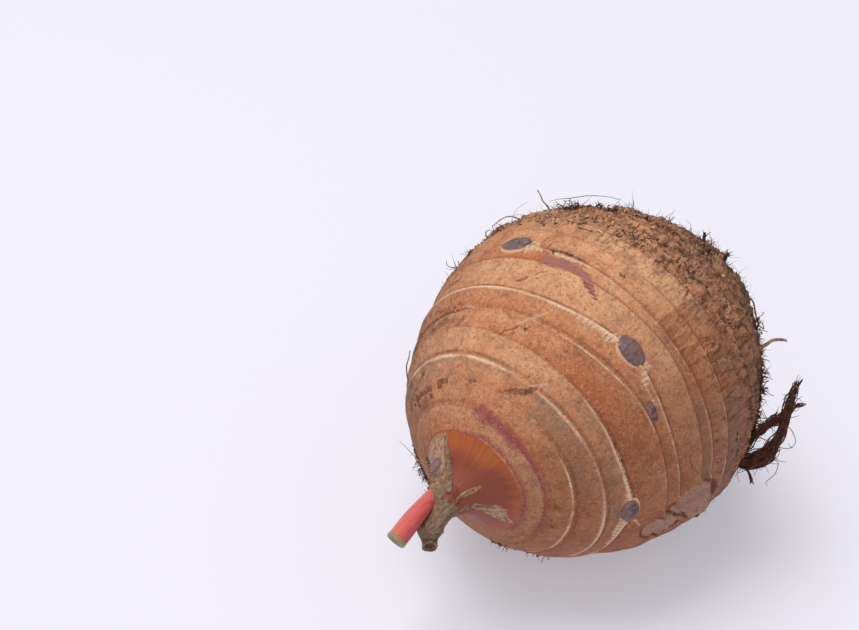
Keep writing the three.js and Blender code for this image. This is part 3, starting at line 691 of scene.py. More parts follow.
class Look:
    """A material being made: its tree, Object coordinates, and the same drawn out along Y."""

    def __init__(self, name, stretch=1):
        self.material = bpy.data.materials.new(name)
        self.material.use_nodes = True
        self.tree = self.material.node_tree
        self.tree.nodes.clear()
        self.where = (self.add("ShaderNodeTexCoord"), "Object")
        self.drawn = self.where
        if stretch != 1:
            self.drawn = self.add("ShaderNodeMapping", {"Vector": self.where, "Scale": (1, stretch, 1)})

    def add(self, kind, links=None, **settings):
        return add(self.tree, kind, links, **settings)

    def spots(self, size_mm, low, high, detail=2, top=1.0, on=None):
        """Noise of a real size, sharpened between two levels to 0..top."""
        field = self.where if on is None else on
        links = {"Vector": field, "Scale": 1000 / size_mm, "Detail": detail, "Roughness": 0.6}
        noise = self.add("ShaderNodeTexNoise", links)
        links = {"Value": (noise, "Fac"), "From Min": low, "From Max": high, "To Max": top}
        return self.add("ShaderNodeMapRange", links, interpolation_type="SMOOTHSTEP")

    def streaks(self, *values):
        """Spots that are drawn out along the corm."""
        return self.spots(*values, on=self.drawn)

    def level(self, value, gain, plus, low, high, curve="LINEAR"):
        """A value times its gain plus another value, from between two levels to 0..1."""
        links = {"Value": value, "Value_001": gain, "Value_002": plus}
        total = self.add("ShaderNodeMath", links, operation="MULTIPLY_ADD")
        links = {"Value": total, "From Min": low, "From Max": high}
        return self.add("ShaderNodeMapRange", links, interpolation_type=curve)

    def mark(self, name, ragged_mm, rough, low=0.35, high=0.65):
        """A mask of the mesh with its edge broken up by fine noise."""
        links = {"Vector": self.where, "Scale": 1000 / ragged_mm, "Detail": 3}
        noise = (self.add("ShaderNodeTexNoise", links), "Fac")
        mask = (self.add("ShaderNodeAttribute", attribute_name=name), "Fac")
        return self.level(noise, rough, mask, low + rough / 2, high + rough / 2, "SMOOTHSTEP")

    def blend(self, colour, *layers):
        """Lay tints over a colour in their order, each as strong as its shares' product."""
        for tint_over, *shares in layers:
            share = shares[0]
            for other in shares[1:]:
                links = {"Value": share, "Value_001": other}
                share = self.add("ShaderNodeMath", links, operation="MULTIPLY")
            links = {"Factor": share, "A": colour, "B": tint_over}
            colour = self.add("ShaderNodeMix", links, data_type="RGBA")
        return colour

    def grained(self, size_mm, distance, strength, detail=3, roughness=0.5, on=None, share=None, under=None):
        """A bump of fine noise of a real size, over the bump under it."""
        field = self.where if on is None else on
        links = {"Vector": field, "Scale": 1000 / size_mm, "Detail": detail, "Roughness": roughness}
        height = (self.add("ShaderNodeTexNoise", links), "Fac")
        if share is not None:
            height = self.add("ShaderNodeMath", {"Value": height, "Value_001": share}, operation="MULTIPLY")
        links = {"Height": height, "Distance": distance, "Strength": strength}
        if under is not None:
            links["Normal"] = under
        return self.add("ShaderNodeBump", links)

    def finish(self, colour, roughness, normal, specular=0.3, **inputs):
        """End in the shader, and give the material."""
        links = {"Base Color": colour, "Roughness": roughness, "Normal": normal, **inputs}
        surface = self.add("ShaderNodeBsdfPrincipled", {"Specular IOR Level": specular, **links})
        self.add("ShaderNodeOutputMaterial", {"Surface": surface})
        return self.material


def bark_material(colours):
    """Corm bark, a papery corky skin: matt, grainy, with thin pale leaf scars, torn where old."""
    look = Look("corky corm bark", 0.22)
    spots, streaks, mark = look.spots, look.streaks, look.mark
    tone, spoke, neck, streaky, low, spun = [
        (look.add("ShaderNodeAttribute", attribute_name=name), "Fac")
        for name in ("tone", "spoke", "neck", "streaky", "low", "spun")
    ]
    links = {"Vector": look.where, "Scale": 1000 / 1.1, "Detail": 4, "Roughness": 0.6}
    mottle = (look.add("ShaderNodeTexNoise", links), "Fac")
    pale = look.level(mottle, 1.5, tone, 0.55, 1.95)
    redder = look.level(spoke, 0.9, neck, 0.35, 1.35)
    fresh = look.blend(colours.cone, (colours.cone_red, redder))
    cone = mark("cone", 1, 0.1, 0.4, 0.6)
    cells = look.add("ShaderNodeTexVoronoi", {"Vector": look.where, "Scale": 1000 / 0.75, "Randomness": 1})
    cell = look.add("ShaderNodeSeparateColor", {"Color": (cells, "Color")})
    dim = look.add("ShaderNodeMapRange", {"Value": (cell, "Red"), "From Min": 0.55, "To Max": 0.3})
    bright = look.add("ShaderNodeMapRange", {"Value": (cell, "Green"), "From Min": 0.65, "To Max": 0.3})
    # Painted shade from the low mask: darker bark away from the top
    under = look.add("ShaderNodeMapRange", {"Value": low, "To Max": 0.42})
    wound = mark("wound", 0.8, 0.2, 0.3, 0.7)
    straw = mark("straw", 0.7, 0.5, 0.3, 0.7)
    spun = look.add("ShaderNodeCombineXYZ", {"X": spun})
    links = {"Vector": look.drawn, "Scale": 1000 / 3.6}
    plates = look.add("ShaderNodeTexVoronoi", links, feature="DISTANCE_TO_EDGE")
    links = {"Value": (plates, "Distance"), "From Min": 0.09, "From Max": 0.02, "To Max": 0.6}
    crack = look.add("ShaderNodeMapRange", links)
    bark = look.add("ShaderNodeMath", {"Value": 1, "Value_001": cone}, operation="SUBTRACT")
    colour = look.blend(
        colours.orange,
        (colours.tan, pale),
        (colours.dark, spots(5, 0.45, 0.75, 5, 0.4)),
        (colours.dark, dim),
        (colours.tan, bright),
        (colours.dark, streaks(1.6, 0.56, 0.72, 3, 0.4)),
        (colours.brown, mark("worn", 2.2, 1.3, 0.2, 1.8)),
        (colours.grey, mark("stain", 1.6, 1.1, 0.1, 1.4)),
        (colours.brown, mark("peel", 1.5, 0.3, 0.3, 2.4)),
        (colours.dark, streaks(1.4, 0.5, 0.64, 4, 0.85), streaky),
        (colours.straw, streaks(0.9, 0.54, 0.64, 3, 0.8), streaky),
        (colours.soil, streaks(0.7, 0.6, 0.66, 4, 0.9), streaky),
        (colours.soil, crack, streaky, spots(4, 0.42, 0.58)),
        # painted shade beside each scar line
        (colours.dark, mark("shade", 0.8, 0.7, 0.1, 1.1)),
        # painted shade away from the top
        (colours.dark, under),
        (colours.dark, mark("crust", 0.9, 2, 0.3, 1.6)),
        (fresh, cone),
        (colours.violet, mark("violet", 2.5, 0.5, 0.2, 1.4)),
        (colours.cone_red, cone, spots(1, 0.45, 0.65, 4, 0.5, on=spun)),
        (colours.cone, cone, spots(0.8, 0.56, 0.68, 3, 0.35, on=spun)),
        (colours.straw, straw),
        (colours.dark, straw, streaks(1, 0.45, 0.6, 4, 0.7)),
        (colours.soil, straw, streaks(0.8, 0.6, 0.68, 4, 0.8)),
        (colours.pink, mark("pink", 0.6, 0.4, 0.3, 0.9)),
        (colours.cream, mark("crease", 0.6, 0.9, 0.3, 2.2)),
        (colours.cream, mark("band", 0.5, 0.6, 0.25, 1.25)),
        (colours.cream, mark("line", 0.7, 0.7, 0.2, 1.1)),
        (colours.violet, mark("purple", 1.2, 0.8, 0.25, 1.3)),
        (colours.wound, wound),
        (colours.pink, wound, spots(2.2, 0.42, 0.66, 3, 0.6)),
        (colours.dark, wound, spots(1.2, 0.55, 0.7, 4, 0.6)),
        (colours.dark, mark("split", 0.8, 0.7, 0.3, 1)),
        (colours.dark, mark("rim", 0.8, 0.6, 0.2, 0.9)),
        (colours.dark, mark("tear", 0.8, 0.9, 0.4, 1.3)),
        (colours.soil, mark("soil", 0.9, 1.4, 0.35, 1.25)),
        (colours.cream, spots(0.4, 0.64, 0.72, 1, 0.4), bark),
        (colours.soil, spots(0.9, 0.66, 0.74, 2, 0.7), bark),
        (colours.dark, spots(0.6, 0.52, 0.7, 2, 0.35), bark),
    )
    rough = look.add("ShaderNodeMapRange", {"Value": cone, "To Min": 0.8, "To Max": 0.5})
    bump = look.grained(0.5, 0.0003, 0.9, roughness=0.7, share=bark)
    bump = look.grained(0.7, 0.0001, 0.5, roughness=0.65, on=look.drawn, under=bump)
    return look.finish(colour, rough, bump)


def bud_material(colours):
    """Bud scales, thin leathery leaves pressed flat: dull violet-grey, finely wrinkled."""
    look = Look("leathery bud scales", 0.3)
    grey = (look.add("ShaderNodeAttribute", attribute_name="grey"), "Fac")
    colour = look.blend(
        colours.bud_pink,
        (colours.bud_grey, grey),
        (colours.bud_dark, look.streaks(1.3, 0.45, 0.66, 4, 0.75)),
        (colours.bud_pink, look.spots(2.6, 0.5, 0.66, 3, 0.8)),
        # Painted highlights: pale streaks over the bud scales
        (colours.bud_painted_highlight, look.streaks(0.7, 0.56, 0.7, 3, 0.4)),
        (colours.tan, look.mark("edge", 0.9, 0.5, 0.4, 1)),
        (colours.cream, look.spots(0.5, 0.68, 0.76, 1, 0.35)),
    )
    return look.finish(colour, 0.55, look.grained(0.45, 0.00012, 0.7))


def sheath_material(colours):
    """Dry leaf sheath, a fibrous woody straw: matt, streaked along, with painted shade in its grooves."""
    look = Look("dry leaf sheath", 0.2)
    # The groove mask: painted shade in the stub's grooves, random dark patches on the ribs
    groove = look.mark("groove", 0.8, 0.5, 0.2, 0.9)
    colour = look.blend(
        colours.sheath,
        (colours.straw, look.streaks(0.9, 0.42, 0.75, 4)),
        (colours.cone_red, look.mark("fresh", 1.2, 0.5, 0.2, 1)),
        (colours.sheath_dark_and_shade, look.streaks(0.7, 0.5, 0.66, 4, 0.6)),
        (colours.sheath_dark_and_shade, groove, look.spots(0.8, 0.3, 0.7, 3, 0.75)),
        (colours.soil, look.spots(0.9, 0.62, 0.7, 3, 0.6)),
        (colours.tan, look.spots(0.6, 0.62, 0.72, 2, 0.4)),
    )
    return look.finish(colour, 0.85, look.grained(0.4, 0.0003, 0.9, 4, on=look.drawn))


def stalk_material(colours):
    """Fresh leaf stalk, a smooth waxy skin: pink-red, deeper red towards its underside as painted shade,
    olive at its cut end.
    """
    look = Look("fresh leaf stalk", 0.12)
    # Painted shade: the shade mask turns the stalk deeper red towards its underside
    side = (look.add("ShaderNodeAttribute", attribute_name="shade"), "Fac")
    colour = look.blend(
        colours.stalk,
        (colours.stalk_red_and_shade, side),
        (colours.stalk_red_and_shade, look.streaks(0.9, 0.45, 0.75, 3, 0.6)),
        (colours.stalk_pale, look.streaks(1.4, 0.55, 0.75, 2, 0.5)),
        (colours.olive, look.mark("cut", 0.6, 0.3, 0.3, 0.7)),
        (colours.stalk_dark, look.mark("pith", 0.5, 0.5, 0.3, 1)),
    )
    return look.finish(colour, 0.38, look.grained(0.5, 0.00008, 0.8, on=look.drawn), 0.5)


def root_material(name, dark, light, soil, soiled):
    """Dead roots, dry and stringy: matt dark brown with paler worn fibres."""
    look = Look(name)
    layers = (light, look.spots(1.5, 0.4, 0.65, 4)), (soil, look.spots(0.8, 0.5, 0.7, 2, soiled))
    return look.finish(look.blend(dark, *layers), 0.85, look.grained(0.3, 0.0002, 0.8), 0.25)


def through(rows, count):
    """Rows of numbers as a smooth curve through them, at an even count of steps."""
    rows = np.asarray(rows, float)
    padded = np.concatenate([[2 * rows[0] - rows[1]], rows, [2 * rows[-1] - rows[-2]]])
    steps_at = np.linspace(0, len(rows) - 1, count)
    index = np.minimum(steps_at.astype(int), len(rows) - 2)
    t = (steps_at - index)[:, None]
    a, b, c, d = (padded[index + k] for k in range(4))
    return 0.5 * (2 * b + (c - a) * t + (2 * a - 5 * b + 4 * c - d) * t**2 + (3 * b - a - 3 * c + d) * t**3)


def stub_rows(rows):
    """Rows of (x, station, above, radius) as points in the frame, with their radii."""
    rows = np.asarray(rows, float)
    points = place(rows[:, 1], 0, rows[:, 2])
    points[:, 0] = rows[:, 0] - ORIGIN[0]
    return points, rows[:, 3]


def full_turn(sides):
    return np.linspace(0, 2 * math.pi, sides, endpoint=False)


def swept(centres, radii, sides, relief):
    """Rings of points round a path. Relief gives a radius factor by step and turn."""
    forward = unit(np.gradient(centres, axis=0))
    up = np.array([0.0, 0.3, 1.0])
    rings = []
    turn = full_turn(sides)
    for index, ahead in enumerate(forward):
        across = unit(np.cross(ahead, up))
        above = np.cross(across, ahead)
        factor = relief(index / (len(centres) - 1), turn)[:, None] * radii[index]
        ring = np.cos(turn)[:, None] * across + np.sin(turn)[:, None] * above
        rings.append(centres[index] + factor * ring)
    return np.array(rings)


def tube_faces(rows, columns):
    """Faces of a tube of rings with both ends closed to a point each."""
    corners = np.arange(rows * columns).reshape(rows, columns)
    right = np.roll(corners, -1, axis=1)
    quads = np.stack([corners[:-1], right[:-1], right[1:], corners[1:]], axis=-1)
    faces = quads.reshape(-1, 4).tolist()
    first, last = rows * columns, rows * columns + 1
    faces += [(first, int(j), int(i)) for i, j in zip(corners[0], right[0])]
    faces += [(last, int(i), int(j)) for i, j in zip(corners[-1], right[-1])]
    return faces


def middles(rings):
    """The points that close a tube at its first and its last ring."""
    return [rings[0].mean(0), rings[-1].mean(0)]


def with_end(rings, centres, end):
    """A tube's rings with those of its broken or cut end."""
    last = rings[-1]
    middle = last.mean(0)
    back = unit(centres[-4] - centres[-1])
    inner = [middle + (last - middle) * share + back * depth for share, depth in end]
    return np.concatenate([rings, inner])


def with_ends(values, first, last):
    """Values over a tube's rings, with those of the two points that close it."""
    return np.append(values.ravel(), [first, last])


def tubes_object(name, tubes, masks):
    """One mesh of tubes, each given as its rings and the two points that close it."""
    points, faces = [], []
    for rings, ends in tubes:
        start = len(points)
        faces += [[start + i for i in face] for face in tube_faces(*rings.shape[:2])]
        points += [*rings.reshape(-1, 3).tolist(), *np.array(ends).tolist()]
    return new_object(name, points, faces, masks)


def outwards(made):
    """Turn a closed mesh the right way out, if its volume comes out negative."""
    mesh = made.data
    mesh.calc_loop_triangles()
    volume = 0
    for triangle in mesh.loop_triangles:
        a, b, c = (mesh.vertices[i].co for i in triangle.vertices)
        volume += a.dot(b.cross(c))
    if volume < 0:
        mesh.flip_normals()
    return made


def new_tree(name, **numbers):
    """A Geometry Nodes tree with a geometry in and out, named number inputs and a material."""
    tree = bpy.data.node_groups.new(name, "GeometryNodeTree")
    tree.is_modifier = True
    tree.interface.new_socket("Geometry", in_out="OUTPUT", socket_type="NodeSocketGeometry")
    for key, kind in {"Geometry": "Geometry", **numbers, "Material": "Material"}.items():
        tree.interface.new_socket(key, in_out="INPUT", socket_type=f"NodeSocket{kind}")
    return tree, add(tree, "NodeGroupInput")


def end_tree(tree, geometry, start):
    """Close a tree: real geometry, smooth, with its material."""
    real = add(tree, "GeometryNodeRealizeInstances", {"Geometry": geometry})
    soft = add(tree, "GeometryNodeSetShadeSmooth", {"Geometry": real})
    painted = add(tree, "GeometryNodeSetMaterial", {"Geometry": soft, "Material": (start, "Material")})
    add(tree, "NodeGroupOutput", {"Geometry": painted})
    return tree


def piped(tree, curves, radius, sides):
    """Tubes round curves, as thick as the radius says at each point."""
    sized = add(tree, "GeometryNodeSetCurveRadius", {"Curve": curves, "Radius": radius})
    section = add(tree, "GeometryNodeCurvePrimitiveCircle", {"Resolution": sides, "Radius": 1})
    scale = add(tree, "GeometryNodeInputRadius")
    links = {"Curve": sized, "Profile Curve": (section, "Curve"), "Scale": scale, "Fill Caps": True}
    return add(tree, "GeometryNodeCurveToMesh", links)


def sown(tree, start, mask, thing, turn, size, standing=True):
    """Copies of a thing, as dense as a mask says. A standing one turns from the skin's own slope."""
    share = add(tree, "GeometryNodeInputNamedAttribute", {"Name": mask}, data_type="FLOAT")
    links = {"Value": share, "Value_001": (start, "Density")}
    dense = add(tree, "ShaderNodeMath", links, operation="MULTIPLY")
    links = {"Mesh": (start, "Geometry"), "Density": dense, "Seed": (start, "Seed")}
    spread = add(tree, "GeometryNodeDistributePointsOnFaces", links)
    if standing:
        turn = add(tree, "FunctionNodeEulerToRotation", {"Euler": turn})
        links = {"Rotation": (spread, "Rotation"), "Rotate By": turn}
        turn = add(tree, "FunctionNodeRotateRotation", links, rotation_space="LOCAL")
    links = {"Points": (spread, "Points"), "Instance": thing, "Rotation": turn, "Scale": size}
    planted = add(tree, "GeometryNodeInstanceOnPoints", links)
    return add(tree, "GeometryNodeRealizeInstances", {"Geometry": planted})


def warped(tree, geometry, waves, detail, reach):
    """A geometry with its points moved by noise, which has so many waves to the metre."""
    here = add(tree, "GeometryNodeInputPosition")
    noise = add(tree, "ShaderNodeTexNoise", {"Vector": here, "Scale": waves, "Detail": detail})
    links = {"Vector": (noise, "Color"), "Vector_001": (0.5, 0.5, 0.5)}
    centred = add(tree, "ShaderNodeVectorMath", links, operation="SUBTRACT")
    offset = add(tree, "ShaderNodeVectorMath", {"Vector": centred, "Scale": reach}, operation="SCALE")
    return add(tree, "GeometryNodeSetPosition", {"Geometry": geometry, "Offset": offset})


def grow(made, tree, values):
    """Run a tree on an object and keep its result as the object's plain mesh."""
    modifier = made.modifiers.new(tree.name, "NODES")
    modifier.node_group = tree
    for item in tree.interface.items_tree:
        if item.in_out == "INPUT" and item.name in values:
            modifier[item.identifier] = values[item.name]
    graph = bpy.context.evaluated_depsgraph_get()
    evaluated = made.evaluated_get(graph)
    result = bpy.data.meshes.new_from_object(evaluated, preserve_all_data_layers=True, depsgraph=graph)
    made.modifiers.remove(modifier)
    for vertex in result.vertices:
        vertex.co.z = max(vertex.co.z, 0)
    old, made.data = made.data, result
    bpy.data.meshes.remove(old)
    result.name = made.name
    if not result.polygons:
        raise RuntimeError(f"{made.name} came out empty")
    return made


def grow_on_skin(name, tree, values):
    """Grow a tree on a copy of the skin and keep only what it grows."""
    carrier = bpy.data.objects.new(name, bpy.data.objects["corm_skin"].data.copy())
    carrier.data.materials.clear()
    bpy.context.scene.collection.objects.link(carrier)
    return grow(carrier, tree, values)


def strand_tree():
    """Round strands along the edges of a mesh, as thick as its thickness attribute says."""
    tree, start = new_tree("root strands", Sides="Int")
    lines = add(tree, "GeometryNodeMeshToCurve", {"Mesh": (start, "Geometry")})
    thick = add(tree, "GeometryNodeInputNamedAttribute", {"Name": "thickness"}, data_type="FLOAT")
    return end_tree(tree, piped(tree, lines, thick, (start, "Sides")), start)


def hair_tree():
    """Thin bent hairs on the skin, dense where its hairy attribute is high."""
    sizes = dict.fromkeys(("Density", "Length", "Thickness", "Lean", "Wander"), "Float")
    tree, start = new_tree("bark hairs", **sizes, Seed="Int")
    tip = add(tree, "ShaderNodeCombineXYZ", {"Z": (start, "Length")})
    hair = add(tree, "GeometryNodeCurvePrimitiveLine", {"Start": (0, 0, -HAIR["sunk"] * MM), "End": tip})
    stepped = add(tree, "GeometryNodeResampleCurve", {"Curve": hair, "Count": HAIR["points"]})
    spin, lean, size = [
        add(tree, "FunctionNodeRandomValue", {"Min": low, "Max": high, "Seed": seed}, data_type="FLOAT")
        for low, high, seed in ((0, 6.2832, (start, "Seed")), (*HAIR["lean"], 3), (*HAIR["size"], 5))
    ]
    lean = add(tree, "ShaderNodeMath", {"Value": lean, "Value_001": (start, "Lean")}, operation="MULTIPLY")
    turn = add(tree, "ShaderNodeCombineXYZ", {"X": lean, "Z": spin})
    hairs = sown(tree, start, "hairy", stepped, turn, size)
    share = (add(tree, "GeometryNodeSplineParameter"), "Factor")
    links = {"Value": share, "Value_001": (start, "Wander")}
    reach = add(tree, "ShaderNodeMath", links, operation="MULTIPLY")
    bent = warped(tree, hairs, HAIR["waves"], 1, reach)
    links = {"Value": share, "To Min": (start, "Thickness"), "To Max": HAIR["tip"] * MM}
    return end_tree(tree, piped(tree, bent, add(tree, "ShaderNodeMapRange", links), HAIR["sides"]), start)


def crumb_tree():
    """Small irregular crumbs half sunk in the skin, dense where its soil attribute is high."""
    tree, start = new_tree("soil crumbs", Density="Float", Size="Float", Seed="Int")
    crumb = add(tree, "GeometryNodeMeshIcoSphere", {"Radius": (start, "Size"), "Subdivisions": 1})
    turn, size = [
        add(tree, "FunctionNodeRandomValue", links, data_type="FLOAT_VECTOR")
        for links in (
            {"Max": (6.28, 6.28, 6.28), "Seed": (start, "Seed")},
            {"Min": (0.35, 0.35, 0.25), "Max": (1.2, 1, 0.8), "Seed": 8},
        )
    ]
    crumbs = sown(tree, start, "soil", (crumb, "Mesh"), turn, size, standing=False)
    return end_tree(tree, warped(tree, crumbs, 1400, 0, (start, "Size")), start)


def flake_tree():
    """Thin curled flakes of torn skin that stand along the edges of the peeled patches."""
    tree, start = new_tree("skin flakes", Density="Float", Size="Float", Seed="Int")
    links = {"X": (start, "Size"), "Y": (start, "Size"), "Z": FLAKE["thick"] * MM}
    sides = add(tree, "ShaderNodeCombineXYZ", links)
    links = {"Size": sides, "Vertices X": 4, "Vertices Y": 4, "Vertices Z": 2}
    plate = add(tree, "GeometryNodeMeshCube", links)
    turn, size = [
        add(tree, "FunctionNodeRandomValue", links, data_type="FLOAT_VECTOR")
        for links in (
            {"Min": (-0.5, -0.5, 0), "Max": (0.5, 0.5, 6.28), "Seed": (start, "Seed")},
            {"Min": (0.5, 0.25, 1), "Max": (1.6, 0.8, 1), "Seed": 9},
        )
    ]
    flakes = sown(tree, start, "flaky", (plate, "Mesh"), turn, size)
    return end_tree(tree, warped(tree, flakes, 700, 1, FLAKE["curl"] * MM), start)


# Where the tuft leaves the corm, as (station, angle), and its two directions in the frame
TUFT_ROOT = (-20, 104)
TUFT_OUT = np.array([0.78, 0.62, 0])
TUFT_UP = np.array([-0.37, 0.46, 0.81])
# Its strands, as (radius, [(out, up), ...]) from there
TUFT_STRANDS = [
    (1.6, [
        (-2, -2.2), (1.9, -3.2), (6.4, -2.2), (9.4, 0.2), (12.4, 6.4), (13.8, 11), (15.2, 15.6), (17, 20),
    ]),
    (1.4, [(-2, -1), (2.4, -1.8), (6.4, -0.6), (9.6, 2.4), (12.2, 7.2), (13.9, 12), (15.6, 17.4)]),
    (1.2, [(-2, 2.4), (1.6, 3.4), (4.6, 4.4), (8.6, 7), (12, 9), (13.6, 12.6), (16, 18.6)]),
    (1, [(-2, 3.6), (1.2, 4.6), (4.2, 5), (7.6, 7.6), (10.8, 10)]),
    (1, [(-2, 0), (1, 0.6), (3.4, 2.2), (5.6, 5), (7.4, 7)]),
    (0.9, [(-1, -3), (1.8, -4.4), (5.6, -4), (8.8, -2), (11, 1.4)]),
    (0.5, [(13.6, 9.6), (14.8, 11.4), (16.2, 12.3), (18.6, 12.7)]),
    (0.5, [(-0.4, -3), (1.9, -4.7), (3.1, -6.9), (3.6, -8.6)]),
]

# Loose roots and fibres: radius, the station and angle each leaves from, then its points as
# (out, up) from there, in the tuft's directions
LOOSE_ROOTS = [
    (0.55, -37.5, 76, [(-2, -0.4), (1.2, 0.6), (3.6, 2.1), (6, 2.4), (7.6, 2)]),
    (0.26, -22, -32, [(0.4, -1), (-0.8, 1.4), (-2.2, 3.2), (-2.8, 4.6), (-3.7, 6.2)]),
    (0.13, -26.5, -28, [(0.2, -0.6), (0, 1.6), (0.2, 3.3), (3, 3.8), (7, 4), (10.6, 3.7), (14, 3)]),
    (0.1, -26.5, -28, [(0.2, 3.3), (-2.6, 3.1), (-5.8, 2.6)]),
    (0.06, -12, -38, [(0, -0.5), (0.6, 2), (1.8, 4), (4.6, 6)]),
    (0.2, -12, -33, [(0.6, -0.2), (-2.4, 1.2), (-5, 0.6), (-8, -1.4)]),
    (0.18, -7, -45, [(0.4, -0.6), (-0.9, 1), (-0.4, 2), (0.7, 2.2)]),
    (0.15, 4.9, -47, [(0.8, -0.3), (-1.4, 0.5), (-3.2, 0.4), (-4.4, 1.1), (-4.5, 2)]),
    (0.16, 4.9, -47, [(-0.6, -0.6), (-1, 0.6), (-1.1, 2.2)]),
    (0.26, 32.8, -69, [(0.6, -2), (-0.9, 1), (-1.2, 5), (-0.2, 9)]),
    (0.22, 21, -72, [(0.8, -1), (-0.8, -3), (-1.2, -6), (0.2, -9)]),
    (0.24, -44, 61, [(-1, 3.4), (1.4, 1.4), (2.2, -2), (3, -5), (4.4, -6.2), (3.8, -4.6), (2.4, -4.9)]),
    (0.45, -36.7, 27, [(-0.2, -1), (0.2, 1), (0.7, 2.8)]),
    (0.1, 46, -104, [(1.5, -1), (-2, 1.6), (-5.4, 5), (-8.4, 8.2)]),
    (0.12, -20, 104, [(11.5, 7.5), (13.2, 5.8), (14.2, 3.1), (13.1, 1.1), (12.2, 2.4)]),
    (0.12, -20, 104, [(8.4, -2), (9.4, -3.1), (8.6, -5.8), (6.1, -8.3), (6.5, -9.3)]),
    (0.14, -20, 104, [(9, 7.4), (10.2, 8.6), (10, 10.4), (11.6, 11.4)]),
    (0.14, 6, -6, [(-1.4, 0.4), (0, 0.9), (1.6, 0.3)]),
    (0.16, -16, 6, [(-2.6, 0.8), (-1, 1.6), (1, 0.8), (3, 0.9)]),
    (0.14, -20, 22, [(-2, 0.6), (0, 1.7), (1, 0.4), (2.6, 1)]),
]
# Roots on the hidden sides: radius, then (station, angle, height over the skin) points
HIDDEN_ROOTS = [
    (0.16, [(-50, 200, 0), (-54, 205, 3), (-56, 210, 4.5)]),
    (0.14, [(-30, 250, 0), (-32, 256, 3), (-30, 262, 5)]),
    (0.16, [(-44, 300, 0), (-47, 302, 4), (-50, 300, 6)]),
    (0.14, [(-20, 215, 0), (-22, 219, 2.4), (-25, 222, 2.4)]),
    (0.2, [(-48, 90, 0), (-51, 96, 3), (-52, 104, 4)]),
    (0.3, [(-52, 20, 0), (-55, 24, 2.6), (-57, 30, 3.4)]),
]
# Places where fine dark roots and soil hang together in a tangle, as (station, angle, roots)
TANGLES = [
    (-37.5, 66, 16), (-34, 75, 14), (-29.5, 80, 26), (-29, 88, 26), (-25, 93, 20), (-21, 108, 30),
    (-24.5, -29, 14), (-24, -23, 18), (-29, -20, 16), (-28.5, -9, 12), (-33, 22, 12), (-37.5, 27, 20),
    (-11.5, -43, 12), (-18, 12, 8), (37.5, -116, 16), (38.5, -128, 18), (37.4, 168, 8), (31, 161, 8),
    (-42, 250, 16), (-34, 160, 14),
]
# Broken root bases over the root end, clear of the floor and of the tuft by these heights and gaps
ROOT_BASES = {"count": 46, "from": -14, "to": -53, "radius": 0.8, "length": 2, "lowest": 9, "clear": 12}
# The side where the skin shows no root bases: between two angles, up to a station
BARE_SIDE = {"from": -70, "to": 112, "until": -45}
# The tuft's fine roots: steps along one, how many to a strand by its radius and at least, and
# the short frizzy ones
TUFT = {"steps": 34, "by_radius": 17, "least": 4, "frizz": 240}


def strands_object(name, strands):
    """One mesh of edges for many strands, each a list of points and of radii."""
    points, edges, thick = [], [], []
    for path, radii in strands:
        start = len(points)
        points += [list(p) for p in path]
        thick += [r * MM for r in radii]
        edges += [(start + i, start + i + 1) for i in range(len(path) - 1)]
    points = np.array(points)
    points[:, 2] = np.maximum(points[:, 2], np.array(thick) / MM)
    return new_object(name, points, [], {"thickness": np.array(thick)}, edges)


def tuft_strands():
    """Each main strand of the tuft as a twisted bundle of fine roots with frayed ends."""
    random = np.random.default_rng(5)
    root, out, _, _ = skin_frame(*TUFT_ROOT)
    root = root - 1.5 * out
    deep = np.cross(TUFT_OUT, TUFT_UP)
    result = []
    count = TUFT["steps"]
    for radius, rows in TUFT_STRANDS:
        core = through([(o, u, 0) for o, u in rows], count)
        core = root + core[:, :1] * TUFT_OUT + core[:, 1:2] * TUFT_UP
        core = core + 1.4 * (random.random() - 0.5) * deep
        t = np.linspace(0, 1, count)
        for _ in range(int(TUFT["by_radius"] * radius) + TUFT["least"]):
            phase, turns = random.uniform(0, 6.28), random.uniform(0.3, 1.1)
            spread = radius * random.uniform(0.15, 0.95) * (1.25 - 0.7 * t + 0.75 * t**2)
            swing = phase + 6.28 * turns * t
            wander = layered(core + 40 * random.random(), 3, 200 + len(result), 3)
            path = core + (spread * np.cos(swing))[:, None] * deep
            path = path + (spread * np.sin(swing) + 0.9 * wander)[:, None] * unit(TUFT_UP - 0.5 * TUFT_OUT)
            kinks = layered(core + 90 * random.random(), 1.6, 900 + len(result), 2)
            path = path + (0.5 * kinks * (0.4 + t))[:, None] * unit(TUFT_OUT + 0.3 * TUFT_UP)
            start = int(random.uniform(0, 8)) if random.random() < 0.3 else 0
            stop = int(count * random.uniform(0.62, 1)) if random.random() < 0.6 else count
            thick = random.uniform(0.12, 0.36) * (1 - 0.55 * t)
            result.append((path[start:stop], thick[start:stop]))
    for _ in range(TUFT["frizz"]):
        strand = TUFT_STRANDS[random.integers(0, 6)]
        core = through([(o, u, 0) for o, u in strand[1]], 12)[int(1 + 10 * random.random() ** 1.4)]
        at = root + core[0] * TUFT_OUT + core[1] * TUFT_UP + random.uniform(-1, 1) * deep
        way = unit(random.normal(size=3) + 0.4 * TUFT_UP)
        side = unit(random.normal(size=3))
        length = random.uniform(1, 5)
        t = np.linspace(0, 1, 9)[:, None]
        path = at + way * t * length + side * np.sin(t * random.uniform(2, 5)) * length * 0.25
        result.append((path, np.linspace(0.12, 0.05, 9)))
    return result


